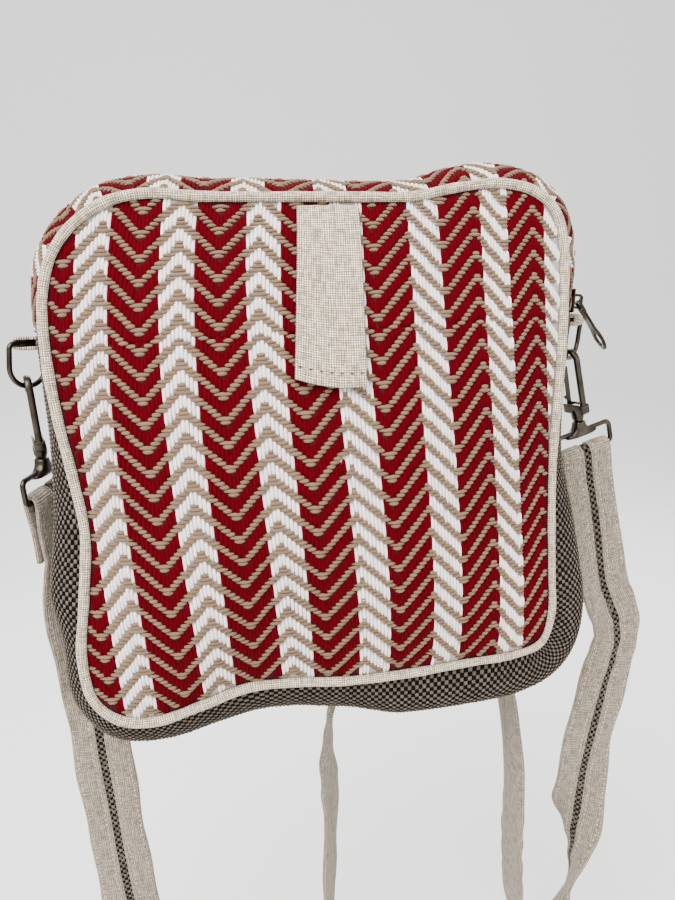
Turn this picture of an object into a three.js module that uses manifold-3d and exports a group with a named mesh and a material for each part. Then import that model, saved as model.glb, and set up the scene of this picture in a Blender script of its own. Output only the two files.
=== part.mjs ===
// Small boxy shoulder bag of hemp and cotton cloth, millimetres, X right, Y away from the viewer, Z up.
// The origin is where the bag is held, under the middle of its bottom.
import * as THREE from "three";
import { mergeVertices } from "three/addons/utils/BufferGeometryUtils.js";
import Module from "manifold-3d";

const wasm = await Module();
wasm.setup();

// Bag body
const FRONT_Y = -24;
const BACK_Y = 24;
const BACK_SHIFT = 4;
const BACK_DROP = 4;
const CENTRE_Z = 124;
const FRONT_PUFF = 22;
const BACK_PUFF = 13;
const PUFF_POWER = 2.2;
const OVAL_REACH = 122;
const PANEL_WALL = 2.2;
const GUSSET_WALL = 1.6;
const STATIONS = 56;
const PIPING_RADIUS = 2.2;
const GAP = 0.4;
const SWELL_POWER = 0.9;
const JUNCTION_LEFT_Z = 183;
const JUNCTION_RIGHT_Z = 181.5;

// Zip fastener along the top
const ZIP_OPENING = 0.065;
const TAPE_HALF = 0.15;
const TAPE_WALL = 1.0;
const CHAIN_HALF = 0.042;
const SLIDER_Z = 188;
const SLIDER_LONG = 11;
const SLIDER_WIDE = 8;
const SLIDER_PLATE = 1.6;
const BRIDGE_LONG = 7;
const BRIDGE_HIGH = 4.9;
const PIVOT_HIGH = 2.4;
const BRIDGE_WIDE = 2.2;
const PULL_LONG = 27;
const PULL_WALL = 1.3;
const PULL_ANGLE = 29;

// Rings, loops and snap hooks
const RING_WIRE = 1.2;
const RING_WIDE = 18;
const RING_TALL = 19;
const LOOP_WIDE = 12.4;
const LOOP_WALL = 1.4;
const LOOP_STOP = 0.9;
const STEM_WIDE = 2.4;
const STEM_DEEP = 3.2;
const THROAT = 3.8;
const HANG_BACK = 0.24;
const BARREL_TOP = 25;
const BARREL_LONG = 8.5;
const BARREL_RADIUS = 3.1;
const BASE_LONG = 7.5;
const EYE_WIRE = 1.3;
const EYE_HALF = 17.8;
const EYE_BEND = 2.6;
const EYE_DROP = 9.5;
const GATE_WIDE = 1.9;
const GATE_DEEP = 2.4;
const GATE_PRESS = 17;
const GATE_INSET = 0.4;
const GATE_TIP = 4.65;
const GATE_LEAN = 0.84;

// Strap
const STRAP_WIDE = 30;
const STRAP_WALL = 2.4;
const GROOVE_WIDE = 6.4;
const GROOVE_DEEP = 1.0;
const STRIPE_WIDE = 5.3;
const STRIPE_WALL = 0.8;
const FOLD_LONG = 30;

// Front seam, clockwise from the middle of the top, with the swell of the gusset beside each row.
const SEAM = [
  { x: 0, z: 232.8, swell: 13.5 },
  { x: 24, z: 232.1, swell: 13 },
  { x: 45, z: 231.9, swell: 13 },
  { x: 66, z: 235.2, swell: 15 },
  { x: 84, z: 236.4, swell: 15.5 },
  { x: 100, z: 232.6, swell: 15.5 },
  { x: 109.5, z: 224, swell: 15 },
  { x: 113, z: 210, swell: 14 },
  { x: 113, z: 192, swell: 12 },
  { x: 111.6, z: 172, swell: 10.5 },
  { x: 108.6, z: 144, swell: 10 },
  { x: 105, z: 115, swell: 12 },
  { x: 103.3, z: 85, swell: 19 },
  { x: 102.6, z: 60, swell: 23 },
  { x: 101.5, z: 38, swell: 25.5 },
  { x: 96, z: 26, swell: 27 },
  { x: 84, z: 22, swell: 28 },
  { x: 60, z: 20.8, swell: 28.5 },
  { x: 30, z: 19.4, swell: 27 },
  { x: 2, z: 19.6, swell: 19.6 },
  { x: -22, z: 22, swell: 18.4 },
  { x: -42, z: 22.2, swell: 18.5 },
  { x: -62, z: 17, swell: 17 },
  { x: -82, z: 12.4, swell: 16.5 },
  { x: -97, z: 14.6, swell: 17 },
  { x: -107.5, z: 24.6, swell: 14.5 },
  { x: -110.8, z: 44, swell: 12.5 },
  { x: -107.6, z: 70, swell: 19.5 },
  { x: -104.6, z: 98, swell: 18.5 },
  { x: -107.2, z: 122, swell: 14 },
  { x: -110.8, z: 146, swell: 9.5 },
  { x: -113, z: 172, swell: 8 },
  { x: -112.2, z: 196, swell: 10 },
  { x: -107.5, z: 212, swell: 12.5 },
  { x: -98, z: 224.4, swell: 14 },
  { x: -84, z: 233, swell: 14.5 },
  { x: -68, z: 236, swell: 14 },
  { x: -46, z: 234.2, swell: 14 },
  { x: -22, z: 233.4, swell: 14 },
];

// Dents and swellings of the front panel: place, reach and depth inwards.
const DENTS = [
  { name: "thumb", x: -22, z: 48, reachX: 26, reachZ: 36, depth: 5 },
  { name: "lower left swell", x: -72, z: 62, reachX: 30, reachZ: 40, depth: -3 },
  { name: "right hollow", x: 86, z: 96, reachX: 24, reachZ: 48, depth: 2.5 },
  { name: "under the tab", x: 2, z: 196, reachX: 34, reachZ: 30, depth: 2 },
];

// Four corners of the hanging tab, on the front panel.
const TAB = {
  topLeft: [-6.6, 228.9],
  topRight: [19.6, 228.4],
  lowLeft: [-14.6, 157.2],
  lowRight: [14.4, 152.2],
};
const TAB_WALL = 1.5;
const TAB_RIDGE = 0.5;

// Each side's hardware: ring bar, its turn, hook claw direction and eye direction, in degrees about Z.
const SIDES = {
  left: {
    bar: [-125.6, 7.6, 179.4],
    ringTurn: -47,
    ringLean: 1,
    clawTurn: -76,
    eyeTurn: 68,
    eyeAt: [-126, 20.5, 110],
    out: -1,
  },
  right: {
    bar: [133, 7.6, 176.4],
    ringTurn: -45,
    ringLean: -1,
    clawTurn: -72,
    eyeTurn: 190,
    eyeAt: [142, 20, 106],
    out: 1,
  },
};

// Strap centre line from the left eye to the right eye: place and direction of its width about Z.
const STRAP_ROUTE = [
  { x: -123.6, y: 29, z: 60, turn: 47 },
  { x: -120.4, y: 36.5, z: 30, turn: 25 },
  { x: -118, y: 41, z: 0, turn: 8 },
  { x: -116.6, y: 45, z: -35, turn: 0 },
  { x: -115, y: 49, z: -64, turn: 0 },
  { x: -112.6, y: 56, z: -110, turn: 0 },
  { x: -110, y: 60, z: -140, turn: 16 },
  { x: -105, y: 63, z: -168, turn: 48 },
  { x: -93, y: 65, z: -197, turn: 80 },
  { x: -68, y: 66, z: -214, turn: 90 },
  { x: -38, y: 65, z: -214, turn: 90 },
  { x: -14, y: 63, z: -197, turn: 90 },
  { x: -3, y: 61, z: -168, turn: 84 },
  { x: 0, y: 56, z: -120, turn: 70 },
  { x: 1, y: 52, z: -70, turn: 66 },
  { x: 4, y: 49, z: -28, turn: 76 },
  { x: 16, y: 48, z: 6, turn: 88 },
  { x: 40, y: 48, z: 24, turn: 90 },
  { x: 70, y: 48, z: 22, turn: 90 },
  { x: 95, y: 48, z: 4, turn: 90 },
  { x: 105, y: 49, z: -26, turn: 90 },
  { x: 107.4, y: 52, z: -62, turn: 89 },
  { x: 108, y: 56, z: -100, turn: 89 },
  { x: 108.6, y: 60, z: -136, turn: 89 },
  { x: 110.5, y: 63, z: -172, turn: 90 },
  { x: 117, y: 63, z: -187, turn: 90 },
  { x: 127, y: 62, z: -192, turn: 90 },
  { x: 137, y: 61, z: -187, turn: 88 },
  { x: 142.4, y: 58, z: -171, turn: 68 },
  { x: 143.6, y: 55, z: -153, turn: 54 },
  { x: 144.2, y: 51, z: -134, turn: 76 },
  { x: 144.6, y: 47, z: -114, turn: 120 },
  { x: 145.2, y: 42, z: -92, turn: 162 },
  { x: 147, y: 35, z: -62, turn: 178 },
  { x: 155.5, y: 31, z: -26, turn: 182 },
  { x: 162, y: 27, z: 8, turn: 186 },
  { x: 152.5, y: 24, z: 38, turn: 188 },
];

const radians = THREE.MathUtils.degToRad;
const v3 = (x, y, z) => new THREE.Vector3(x, y, z);
const mixed = (a, b, k) => a + (b - a) * k;

// A geometry from rings of points: each ring joins the next, closed round itself.
function ringsToGeometry(rings, closedPath) {
  const round = rings[0].length;
  const points = rings.flat();
  const faces = [];
  const last = closedPath ? rings.length : rings.length - 1;
  for (let i = 0; i < last; i += 1) {
    const here = i * round;
    const next = ((i + 1) % rings.length) * round;
    for (let j = 0; j < round; j += 1) {
      const k = (j + 1) % round;
      faces.push(here + j, here + k, next + k, here + j, next + k, next + j);
    }
  }
  if (!closedPath) {
    const outline = rings[0].map((_, j) => j);
    capFaces(rings[0], outline).forEach(([a, b, c]) => faces.push(a, c, b));
    const base = (rings.length - 1) * round;
    const endCap = capFaces(rings[rings.length - 1], outline);
    endCap.forEach(([a, b, c]) => faces.push(base + a, base + b, base + c));
  }
  return outward(points, faces);
}

// Triangles of a flat end cap, from its outline.
function capFaces(ring, outline) {
  const normal = v3(0, 0, 0);
  ring.forEach((p, j) => normal.add(v3().crossVectors(p, ring[(j + 1) % ring.length])));
  normal.normalize();
  const across = ring[1].clone().sub(ring[0]).normalize();
  const up = v3().crossVectors(normal, across);
  const flat = outline.map((j) => new THREE.Vector2(ring[j].dot(across), ring[j].dot(up)));
  return THREE.ShapeUtils.triangulateShape(flat, []);
}

// Turns a mesh's faces so that they point outwards.
function outward(points, faces) {
  let volume = 0;
  for (let i = 0; i < faces.length; i += 3) {
    const [a, b, c] = [points[faces[i]], points[faces[i + 1]], points[faces[i + 2]]];
    volume += a.dot(v3().crossVectors(b, c));
  }
  if (volume < 0) {
    for (let i = 0; i < faces.length; i += 3) {
      [faces[i + 1], faces[i + 2]] = [faces[i + 2], faces[i + 1]];
    }
  }
  const geometry = new THREE.BufferGeometry();
  const flat = points.flatMap((p) => [p.x, p.y, p.z]);
  geometry.setAttribute("position", new THREE.Float32BufferAttribute(flat, 3));
  geometry.setIndex(faces);
  return geometry;
}

// A slab of cloth: a surface of two parameters and a second one behind it, joined round the rim.
function slab(surface, us, vs, outer, inner) {
  const step = 1e-3;
  const shifted = (u, v, by) => {
    const along = surface(u + step, v).sub(surface(u - step, v));
    const across = surface(u, v + step).sub(surface(u, v - step));
    return surface(u, v).addScaledVector(v3().crossVectors(along, across).normalize(), by);
  };
  const rings = us.map((u) => {
    const front = vs.map((v) => shifted(u, v, outer(v)));
    const back = vs.map((v) => shifted(u, v, inner(v))).reverse();
    return [...front, ...back];
  });
  return slabGeometry(rings, vs.length);
}

// Rings whose two halves are the front and back rows of a slab, capped by strips between the rows.
function slabGeometry(rings, half) {
  const round = 2 * half;
  const points = rings.flat();
  const faces = [];
  for (let i = 0; i + 1 < rings.length; i += 1) {
    for (let j = 0; j < round; j += 1) {
      const k = (j + 1) % round;
      const [a, b, c, d] = [i * round + j, i * round + k, (i + 1) * round + k, (i + 1) * round + j];
      faces.push(a, b, c, a, c, d);
    }
  }
  [0, rings.length - 1].forEach((ring, end) => {
    const base = ring * round;
    for (let j = 0; j + 1 < half; j += 1) {
      const [a, b, c, d] = [base + j, base + j + 1, base + round - 2 - j, base + round - 1 - j];
      const quad = end === 0 ? [a, c, b, a, d, c] : [a, b, c, a, c, d];
      faces.push(...quad);
    }
  });
  return outward(points, faces);
}

const even = (from, to, count) => Array.from({ length: count + 1 }, (_, i) => mixed(from, to, i / count));

// Seam curve and swell, both by the same parameter.
const seamCurve = new THREE.CatmullRomCurve3(SEAM.map((row) => v3(row.x, 0, row.z)), true, "centripetal");
const swellRows = SEAM.map((row, i) => v3(row.swell, i * 0.01, 0));
const swellCurve = new THREE.CatmullRomCurve3(swellRows, true, "centripetal");
const wrapped = (t) => ((t % 1) + 1) % 1;
const seamAt = (t) => seamCurve.getPoint(wrapped(t));
const swellAt = (t) => swellCurve.getPoint(wrapped(t)).x;

function seamOut(t) {
  const along = seamAt(t + 0.002).sub(seamAt(t - 0.002));
  return v3(-along.z, 0, along.x).normalize();
}

// Seam parameter at a height on the right or left edge.
function seamAtHeight(z, side) {
  const [from, to] = side > 0 ? [0.18, 0.4] : [0.84, 0.66];
  let [low, high] = [to, from];
  for (let i = 0; i < 40; i += 1) {
    const middle = (low + high) / 2;
    if (seamAt(middle).z < z) low = middle;
    else high = middle;
  }
  return (low + high) / 2;
}

// Gusset surface: along the seam and across from the front seam to the back seam.
function gusset(t, v) {
  const rise = Math.sin(Math.PI * THREE.MathUtils.clamp(v, 0, 1)) ** SWELL_POWER;
  const point = seamAt(t).addScaledVector(seamOut(t), swellAt(t) * rise);
  const margin = PIPING_RADIUS + GAP;
  point.x += BACK_SHIFT * v;
  point.z -= BACK_DROP * v;
  point.y = mixed(FRONT_Y + margin, BACK_Y - margin, v);
  return point;
}

// Distance from the panel centre to its edge, by direction.
const panelMiddle = v3(-1, 0, CENTRE_Z);
const edgeTable = even(0, 1, 720).map((t) => {
  const edge = seamAt(t).addScaledVector(seamOut(t), -(PIPING_RADIUS + GAP)).sub(panelMiddle);
  return { angle: Math.atan2(edge.z, edge.x), reach: Math.hypot(edge.x, edge.z) };
});
edgeTable.sort((a, b) => a.angle - b.angle);

function edgeReach(angle) {
  const after = edgeTable.findIndex((row) => row.angle >= angle);
  const b = edgeTable[after < 0 ? 0 : after];
  const a = edgeTable[(after <= 0 ? edgeTable.length : after) - 1];
  const span = b.angle - a.angle;
  return Math.abs(span) < 1e-9 || after <= 0 ? b.reach : mixed(a.reach, b.reach, (angle - a.angle) / span);
}

// Share of the way from the panel's middle to its edge.
function edgeShare(x, z) {
  const [dx, dz] = [x - panelMiddle.x, z - panelMiddle.z];
  return Math.min(Math.hypot(dx, dz) / edgeReach(Math.atan2(dz, dx)), 1);
}

// A pillow's rise, 1 in the middle and 0 at the edge: round inside, following the edge outside.
function pillow(x, z) {
  const share = edgeShare(x, z);
  const oval = Math.hypot(x - panelMiddle.x, z - panelMiddle.z) / OVAL_REACH;
  const edgeWeight = share ** 3;
  return 1 - Math.min(mixed(oval, share, edgeWeight), 1) ** PUFF_POWER;
}

// Height of the front panel in front of its seam plane.
function frontHeight(x, z) {
  const r = edgeShare(x, z);
  const puff = FRONT_PUFF * pillow(x, z);
  const dent = DENTS.reduce((sum, row) => {
    const far = ((x - row.x) / row.reachX) ** 2 + ((z - row.z) / row.reachZ) ** 2;
    return sum + row.depth * Math.exp(-far);
  }, 0);
  return puff - dent * (1 - r ** 6);
}

// A puffed panel: rings of the seam drawn in towards the middle, with a wall behind.
function panel(height, planeY, shift, drop, wall, turns, steps) {
  const points = [];
  const faces = [];
  const layers = [0, wall];
  const stations = even(0, 1, turns).slice(0, turns).map((u) => seamCurve.getUtoTmapping(u));
  const perLayer = turns * steps + 1;
  layers.forEach((inside) => {
    for (let s = 0; s < steps; s += 1) {
      const r = 1 - (s / steps) ** 1.25;
      stations.forEach((t) => {
        const edge = seamAt(t).addScaledVector(seamOut(t), -(PIPING_RADIUS + GAP));
        const x = mixed(panelMiddle.x, edge.x, r);
        const z = mixed(panelMiddle.z, edge.z, r);
        points.push(v3(x + shift, planeY + height(x, z, inside), z - drop));
      });
    }
    const middle = height(panelMiddle.x, panelMiddle.z, inside);
    points.push(v3(panelMiddle.x + shift, planeY + middle, panelMiddle.z - drop));
  });
  layers.forEach((_, layer) => {
    const base = layer * perLayer;
    const add = (a, b, c) => (layer === 0 ? faces.push(a, b, c) : faces.push(a, c, b));
    for (let s = 0; s < steps; s += 1) {
      for (let j = 0; j < turns; j += 1) {
        const k = (j + 1) % turns;
        const [a, b] = [base + s * turns + j, base + s * turns + k];
        if (s + 1 < steps) {
          add(a, b, b + turns);
          add(a, b + turns, a + turns);
        } else {
          add(a, b, base + perLayer - 1);
        }
      }
    }
  });
  for (let j = 0; j < turns; j += 1) {
    const k = (j + 1) % turns;
    faces.push(j, perLayer + k, k, j, perLayer + j, perLayer + k);
  }
  return outward(points, faces);
}

// A round cord along the seam at one panel plane.
function piping(planeY, shift, drop) {
  const stations = even(0, 1, STATIONS).slice(0, STATIONS).map((u) => seamCurve.getUtoTmapping(u));
  const rings = stations.map((t) => {
    const centre = seamAt(t).add(v3(shift, planeY, -drop));
    const out = seamOut(t);
    return even(0, 360, 6).slice(0, 6).map((angle) => {
      const around = out.clone().multiplyScalar(Math.cos(radians(angle))).setY(Math.sin(radians(angle)));
      return centre.clone().addScaledVector(around, PIPING_RADIUS);
    });
  });
  return ringsToGeometry(rings, true);
}

const asManifold = (geometry) => {
  const bare = new THREE.BufferGeometry();
  const plain = geometry.index ? geometry.toNonIndexed() : geometry;
  bare.setAttribute("position", plain.getAttribute("position"));
  const merged = mergeVertices(bare, 1e-4);
  return new wasm.Manifold(
    new wasm.Mesh({
      numProp: 3,
      vertProperties: merged.getAttribute("position").array,
      triVerts: new Uint32Array(merged.index.array),
    }),
  );
};

const asGeometry = (solid) => {
  const mesh = solid.getMesh();
  const geometry = new THREE.BufferGeometry();
  geometry.setAttribute("position", new THREE.Float32BufferAttribute(mesh.vertProperties, 3));
  geometry.setIndex(Array.from(mesh.triVerts));
  return geometry;
};

// Several solids joined into one.
const joined = (...parts) => asGeometry(wasm.Manifold.union(parts.map(asManifold)));

// A wire of round section along a list of points.
function wire(points, radius, closed, sides) {
  const frames = points.map((p, i) => {
    const before = points[closed ? (i + points.length - 1) % points.length : Math.max(i - 1, 0)];
    const after = points[closed ? (i + 1) % points.length : Math.min(i + 1, points.length - 1)];
    return after.clone().sub(before).normalize();
  });
  let side = Math.abs(frames[0].z) < 0.9 ? v3(0, 0, 1) : v3(1, 0, 0);
  const flatNormal = wireNormal(points);
  if (flatNormal.length() > 0.5) side = flatNormal;
  const rings = points.map((p, i) => {
    const a = side.clone().addScaledVector(frames[i], -side.dot(frames[i])).normalize();
    const b = v3().crossVectors(frames[i], a);
    return even(0, 360, sides).slice(0, sides).map((angle) => {
      const around = a.clone().multiplyScalar(Math.cos(radians(angle)));
      around.addScaledVector(b, Math.sin(radians(angle)));
      return p.clone().addScaledVector(around, radius);
    });
  });
  return ringsToGeometry(rings, closed);
}

// The unit normal of the plane that a bent wire lies in.
function wireNormal(points) {
  const total = v3(0, 0, 0);
  const first = points[0];
  for (let i = 1; i + 1 < points.length; i += 1) {
    total.add(v3().crossVectors(points[i].clone().sub(first), points[i + 1].clone().sub(first)));
  }
  return total.length() > 1e-6 ? total.normalize() : total;
}

// Points of an arc in a plane given by two directions.
function arc(centre, a, b, radius, from, to, count) {
  return even(from, to, count).map((angle) =>
    centre
      .clone()
      .addScaledVector(a, radius * Math.cos(radians(angle)))
      .addScaledVector(b, radius * Math.sin(radians(angle))),
  );
}

// A bar of rectangular section between two points, with its width along one direction.
function bar(from, to, wideAlong, wide, deep) {
  const along = to.clone().sub(from).normalize();
  const a = wideAlong.clone().addScaledVector(along, -wideAlong.dot(along)).normalize();
  const b = v3().crossVectors(along, a);
  const ring = (p) =>
    [
      [1, 0.5],
      [0.5, 1],
      [-0.5, 1],
      [-1, 0.5],
      [-1, -0.5],
      [-0.5, -1],
      [0.5, -1],
      [1, -0.5],
    ].map(([i, j]) => p.clone().addScaledVector(a, (i * wide) / 2).addScaledVector(b, (j * deep) / 2));
  return ringsToGeometry([ring(from), ring(to)], false);
}

// A round solid about an axis, from rows of distance along it and radius.
function turned(start, axis, rows, sides) {
  const a = Math.abs(axis.z) < 0.9 ? v3(0, 0, 1) : v3(1, 0, 0);
  a.addScaledVector(axis, -a.dot(axis)).normalize();
  const b = v3().crossVectors(axis, a);
  const rings = rows.map((row) =>
    even(0, 360, sides).slice(0, sides).map((angle) => {
      const p = start.clone().addScaledVector(axis, row.along);
      p.addScaledVector(a, row.radius * Math.cos(radians(angle)));
      return p.addScaledVector(b, row.radius * Math.sin(radians(angle)));
    }),
  );
  return ringsToGeometry(rings, false);
}

// A flat shape of lines, pushed through a thickness, set on three directions.
function pushed(shape, origin, xAxis, yAxis, zAxis, thick) {
  const settings = { depth: thick, bevelEnabled: false, curveSegments: 8 };
  const geometry = new THREE.ExtrudeGeometry(shape, settings);
  geometry.translate(0, 0, -thick / 2);
  const frame = new THREE.Matrix4().makeBasis(xAxis, yAxis, zAxis).setPosition(origin);
  return geometry.applyMatrix4(frame);
}

const aboutZ = (degrees) => v3(Math.cos(radians(degrees)), Math.sin(radians(degrees)), 0);

// Where the upper and lower gusset meet, and the middle line's place there.
const joinRight = seamAtHeight(JUNCTION_RIGHT_Z, 1);
const joinLeft = seamAtHeight(JUNCTION_LEFT_Z, -1);
const joinGap = 0.0006;

function lowerGusset() {
  const us = even(joinRight + joinGap, joinLeft - joinGap, 38);
  const vs = even(0, 1, 6);
  return slab(gusset, us, vs, () => 0, () => -GUSSET_WALL);
}

function upperGusset(fromV, toV) {
  const us = even(joinLeft - 1 + joinGap, joinRight - joinGap, 31);
  return slab(gusset, us, even(fromV, toV, 3), () => 0, () => -GUSSET_WALL);
}

function zipTape() {
  const us = even(joinLeft - 1 + joinGap, joinRight - joinGap, 31);
  const edge = CHAIN_HALF;
  const vs = [-TAPE_HALF, -edge - 0.002, -edge, edge, edge + 0.002, TAPE_HALF].map((v) => v + 0.5);
  const under = -(GUSSET_WALL + GAP + 0.15);
  const top = (v) => (Math.abs(v - 0.5) <= edge + 1e-6 ? -0.2 : under);
  return slab(gusset, us, vs, top, () => under - TAPE_WALL);
}

// Local directions on the gusset's middle line at one seam place: out, along and across.
function gussetFrame(t) {
  const along = gusset(t + 0.001, 0.5).sub(gusset(t - 0.001, 0.5)).normalize();
  const across = gusset(t, 0.51).sub(gusset(t, 0.49)).normalize();
  const out = v3().crossVectors(along, across).normalize();
  if (out.dot(seamOut(t)) < 0) out.negate();
  return { at: gusset(t, 0.5), along, across: v3().crossVectors(out, along), out };
}

const sliderFrame = gussetFrame(seamAtHeight(SLIDER_Z, 1));

function zipSlider() {
  const { at, along, across, out } = sliderFrame;
  const foot = at.clone().addScaledVector(out, GAP);
  const half = SLIDER_LONG / 2;
  const plate = bar(
    foot.clone().addScaledVector(along, -half).addScaledVector(out, SLIDER_PLATE / 2),
    foot.clone().addScaledVector(along, half).addScaledVector(out, SLIDER_PLATE / 2),
    across,
    SLIDER_WIDE,
    SLIDER_PLATE,
  );
  const arch = new THREE.Shape();
  arch.moveTo(-BRIDGE_LONG / 2, 0);
  arch.lineTo(BRIDGE_LONG / 2, 0);
  arch.lineTo(BRIDGE_LONG / 2, BRIDGE_HIGH - 1.2);
  arch.lineTo(BRIDGE_LONG / 2 - 1.2, BRIDGE_HIGH);
  arch.lineTo(-BRIDGE_LONG / 2 + 1.2, BRIDGE_HIGH);
  arch.lineTo(-BRIDGE_LONG / 2, BRIDGE_HIGH - 1.2);
  const hole = new THREE.Path();
  const inside = BRIDGE_LONG / 2 - 1.1;
  hole.moveTo(-inside, 1.0);
  hole.lineTo(inside, 1.0);
  hole.lineTo(inside, 2 * PIVOT_HIGH - 1.0);
  hole.lineTo(-inside, 2 * PIVOT_HIGH - 1.0);
  arch.holes.push(hole);
  const start = foot.clone().addScaledVector(out, SLIDER_PLATE - 0.3);
  const bridge = pushed(arch, start, along, out, v3().crossVectors(along, out), BRIDGE_WIDE);
  return joined(plate, bridge);
}

const pivotReach = GAP + SLIDER_PLATE - 0.3 + PIVOT_HIGH;
const pullPivot = sliderFrame.at.clone().addScaledVector(sliderFrame.out, pivotReach);

function zipPull() {
  const { across } = sliderFrame;
  const down = v3(0, 0, -1).addScaledVector(across, across.z).normalize();
  const aside = v3().crossVectors(across, down).normalize();
  if (aside.x < 0) aside.negate();
  const lead = down.clone().multiplyScalar(Math.cos(radians(PULL_ANGLE)));
  lead.addScaledVector(aside, Math.sin(radians(PULL_ANGLE)));
  const outline = new THREE.Shape();
  const rows = [
    { long: -0.65, half: 3.2 },
    { long: 5.2, half: 3.2 },
    { long: 7, half: 2.4 },
    { long: 15.5, half: 2.8 },
    { long: 18, half: 4.0 },
    { long: 21.5, half: 4.4 },
    { long: 24.5, half: 3.4 },
    { long: PULL_LONG, half: 1.2 },
  ];
  outline.moveTo(rows[0].half, rows[0].long);
  rows.slice(1).forEach((row) => outline.lineTo(row.half, row.long));
  [...rows].reverse().forEach((row) => outline.lineTo(-row.half, row.long));
  const eye = new THREE.Path();
  eye.moveTo(-1.75, 0.65);
  eye.lineTo(1.75, 0.65);
  eye.lineTo(1.75, 4.4);
  eye.lineTo(-1.75, 4.4);
  const loop = new THREE.Path();
  loop.absellipse(0, 21.4, 2.7, 3.6, 0, 2 * Math.PI);
  outline.holes.push(eye, loop);
  return pushed(outline, pullPivot, across, lead, v3().crossVectors(across, lead), PULL_WALL);
}

// A tab sewn in at the top seam, lying on the front panel.
function frontTab() {
  const surface = (s, w) => {
    const left = [mixed(TAB.topLeft[0], TAB.lowLeft[0], w), mixed(TAB.topLeft[1], TAB.lowLeft[1], w)];
    const right = [mixed(TAB.topRight[0], TAB.lowRight[0], w), mixed(TAB.topRight[1], TAB.lowRight[1], w)];
    const x = mixed(left[0], right[0], s);
    const z = mixed(left[1], right[1], s) - 1.6 * w * Math.sin(Math.PI * s);
    const ridge = TAB_RIDGE * Math.exp(-(((s - 0.55) / 0.07) ** 2));
    const lift = 0.7 + 1.6 * w * w;
    return v3(x, FRONT_Y - frontHeight(x, z) - lift - TAB_WALL - ridge, z);
  };
  const across = [0, 0.25, 0.45, 0.55, 0.65, 0.82, 1];
  return slab(surface, across, even(0, 1, 12), () => 0, () => TAB_WALL);
}

// Directions of one side's ring: its bar and the way it hangs.
function ringFrame(side) {
  const barWay = aboutZ(90 + side.ringTurn);
  const hang = v3(Math.sin(radians(side.ringLean)), HANG_BACK, -Math.cos(radians(side.ringLean)));
  hang.addScaledVector(barWay, -hang.dot(barWay)).normalize();
  return { barAt: v3(...side.bar), barWay, hang };
}

function dRing(side) {
  const { barAt, barWay, hang } = ringFrame(side);
  const half = RING_WIDE / 2;
  const bend = 2.4;
  const point = (s, d) => barAt.clone().addScaledVector(barWay, s).addScaledVector(hang, d);
  const round = arc(point(0, RING_TALL - half), barWay, hang, half, 0, 180, 12);
  const points = [
    ...even(-half + bend, half - bend, 3).map((s) => point(s, 0)),
    point(half - bend * 0.29, bend * 0.29),
    point(half, bend),
    ...round,
    point(-half, bend),
    point(-half + bend * 0.29, bend * 0.29),
  ];
  return wire(points, RING_WIRE, true, 6);
}

// A band of cloth folded round the ring's bar. Its legs run to the gusset and stop just short of it.
function ringLoop(side) {
  const { barAt, barWay } = ringFrame(side);
  const inside = RING_WIRE + GAP;
  const margin = PIPING_RADIUS + GAP;
  const up = v3(0, 0, 1);
  const toBag = v3(-side.out, 0, 0);
  const reach = v3().crossVectors(barWay, up).normalize();
  if (reach.dot(toBag) < 0) reach.negate();
  const angles = even(90, 270, 10).map(radians);
  const row = (w, radius) => {
    const foot = barAt.clone().addScaledVector(barWay, w);
    const share = (foot.y - FRONT_Y - margin) / (BACK_Y - FRONT_Y - 2 * margin);
    const legEnd = (sign) => {
      const z = foot.z + sign * radius;
      const wall = gusset(seamAtHeight(z + BACK_DROP * share, side.out), share);
      return v3(wall.x + side.out * LOOP_STOP, foot.y, z);
    };
    const fold = angles.map((a) =>
      foot.clone().addScaledVector(reach, radius * Math.cos(a)).addScaledVector(up, radius * Math.sin(a)),
    );
    return [legEnd(1), ...fold, legEnd(-1)];
  };
  const rings = even(-LOOP_WIDE / 2, LOOP_WIDE / 2, 6).map((w) => [
    ...row(w, inside + LOOP_WALL),
    ...row(w, inside).reverse(),
  ]);
  return slabGeometry(rings, angles.length + 2);
}

// Directions of one side's hook: down its length, and towards its stem.
function hookFrame(side) {
  const { barAt, hang } = ringFrame(side);
  const top = barAt.clone().addScaledVector(hang, RING_TALL);
  const down = v3(...side.eyeAt).sub(top).normalize();
  const toStem = aboutZ(side.clawTurn);
  toStem.addScaledVector(down, -toStem.dot(down)).normalize();
  const depth = v3().crossVectors(down, toStem);
  return { top, down, toStem, depth };
}

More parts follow.
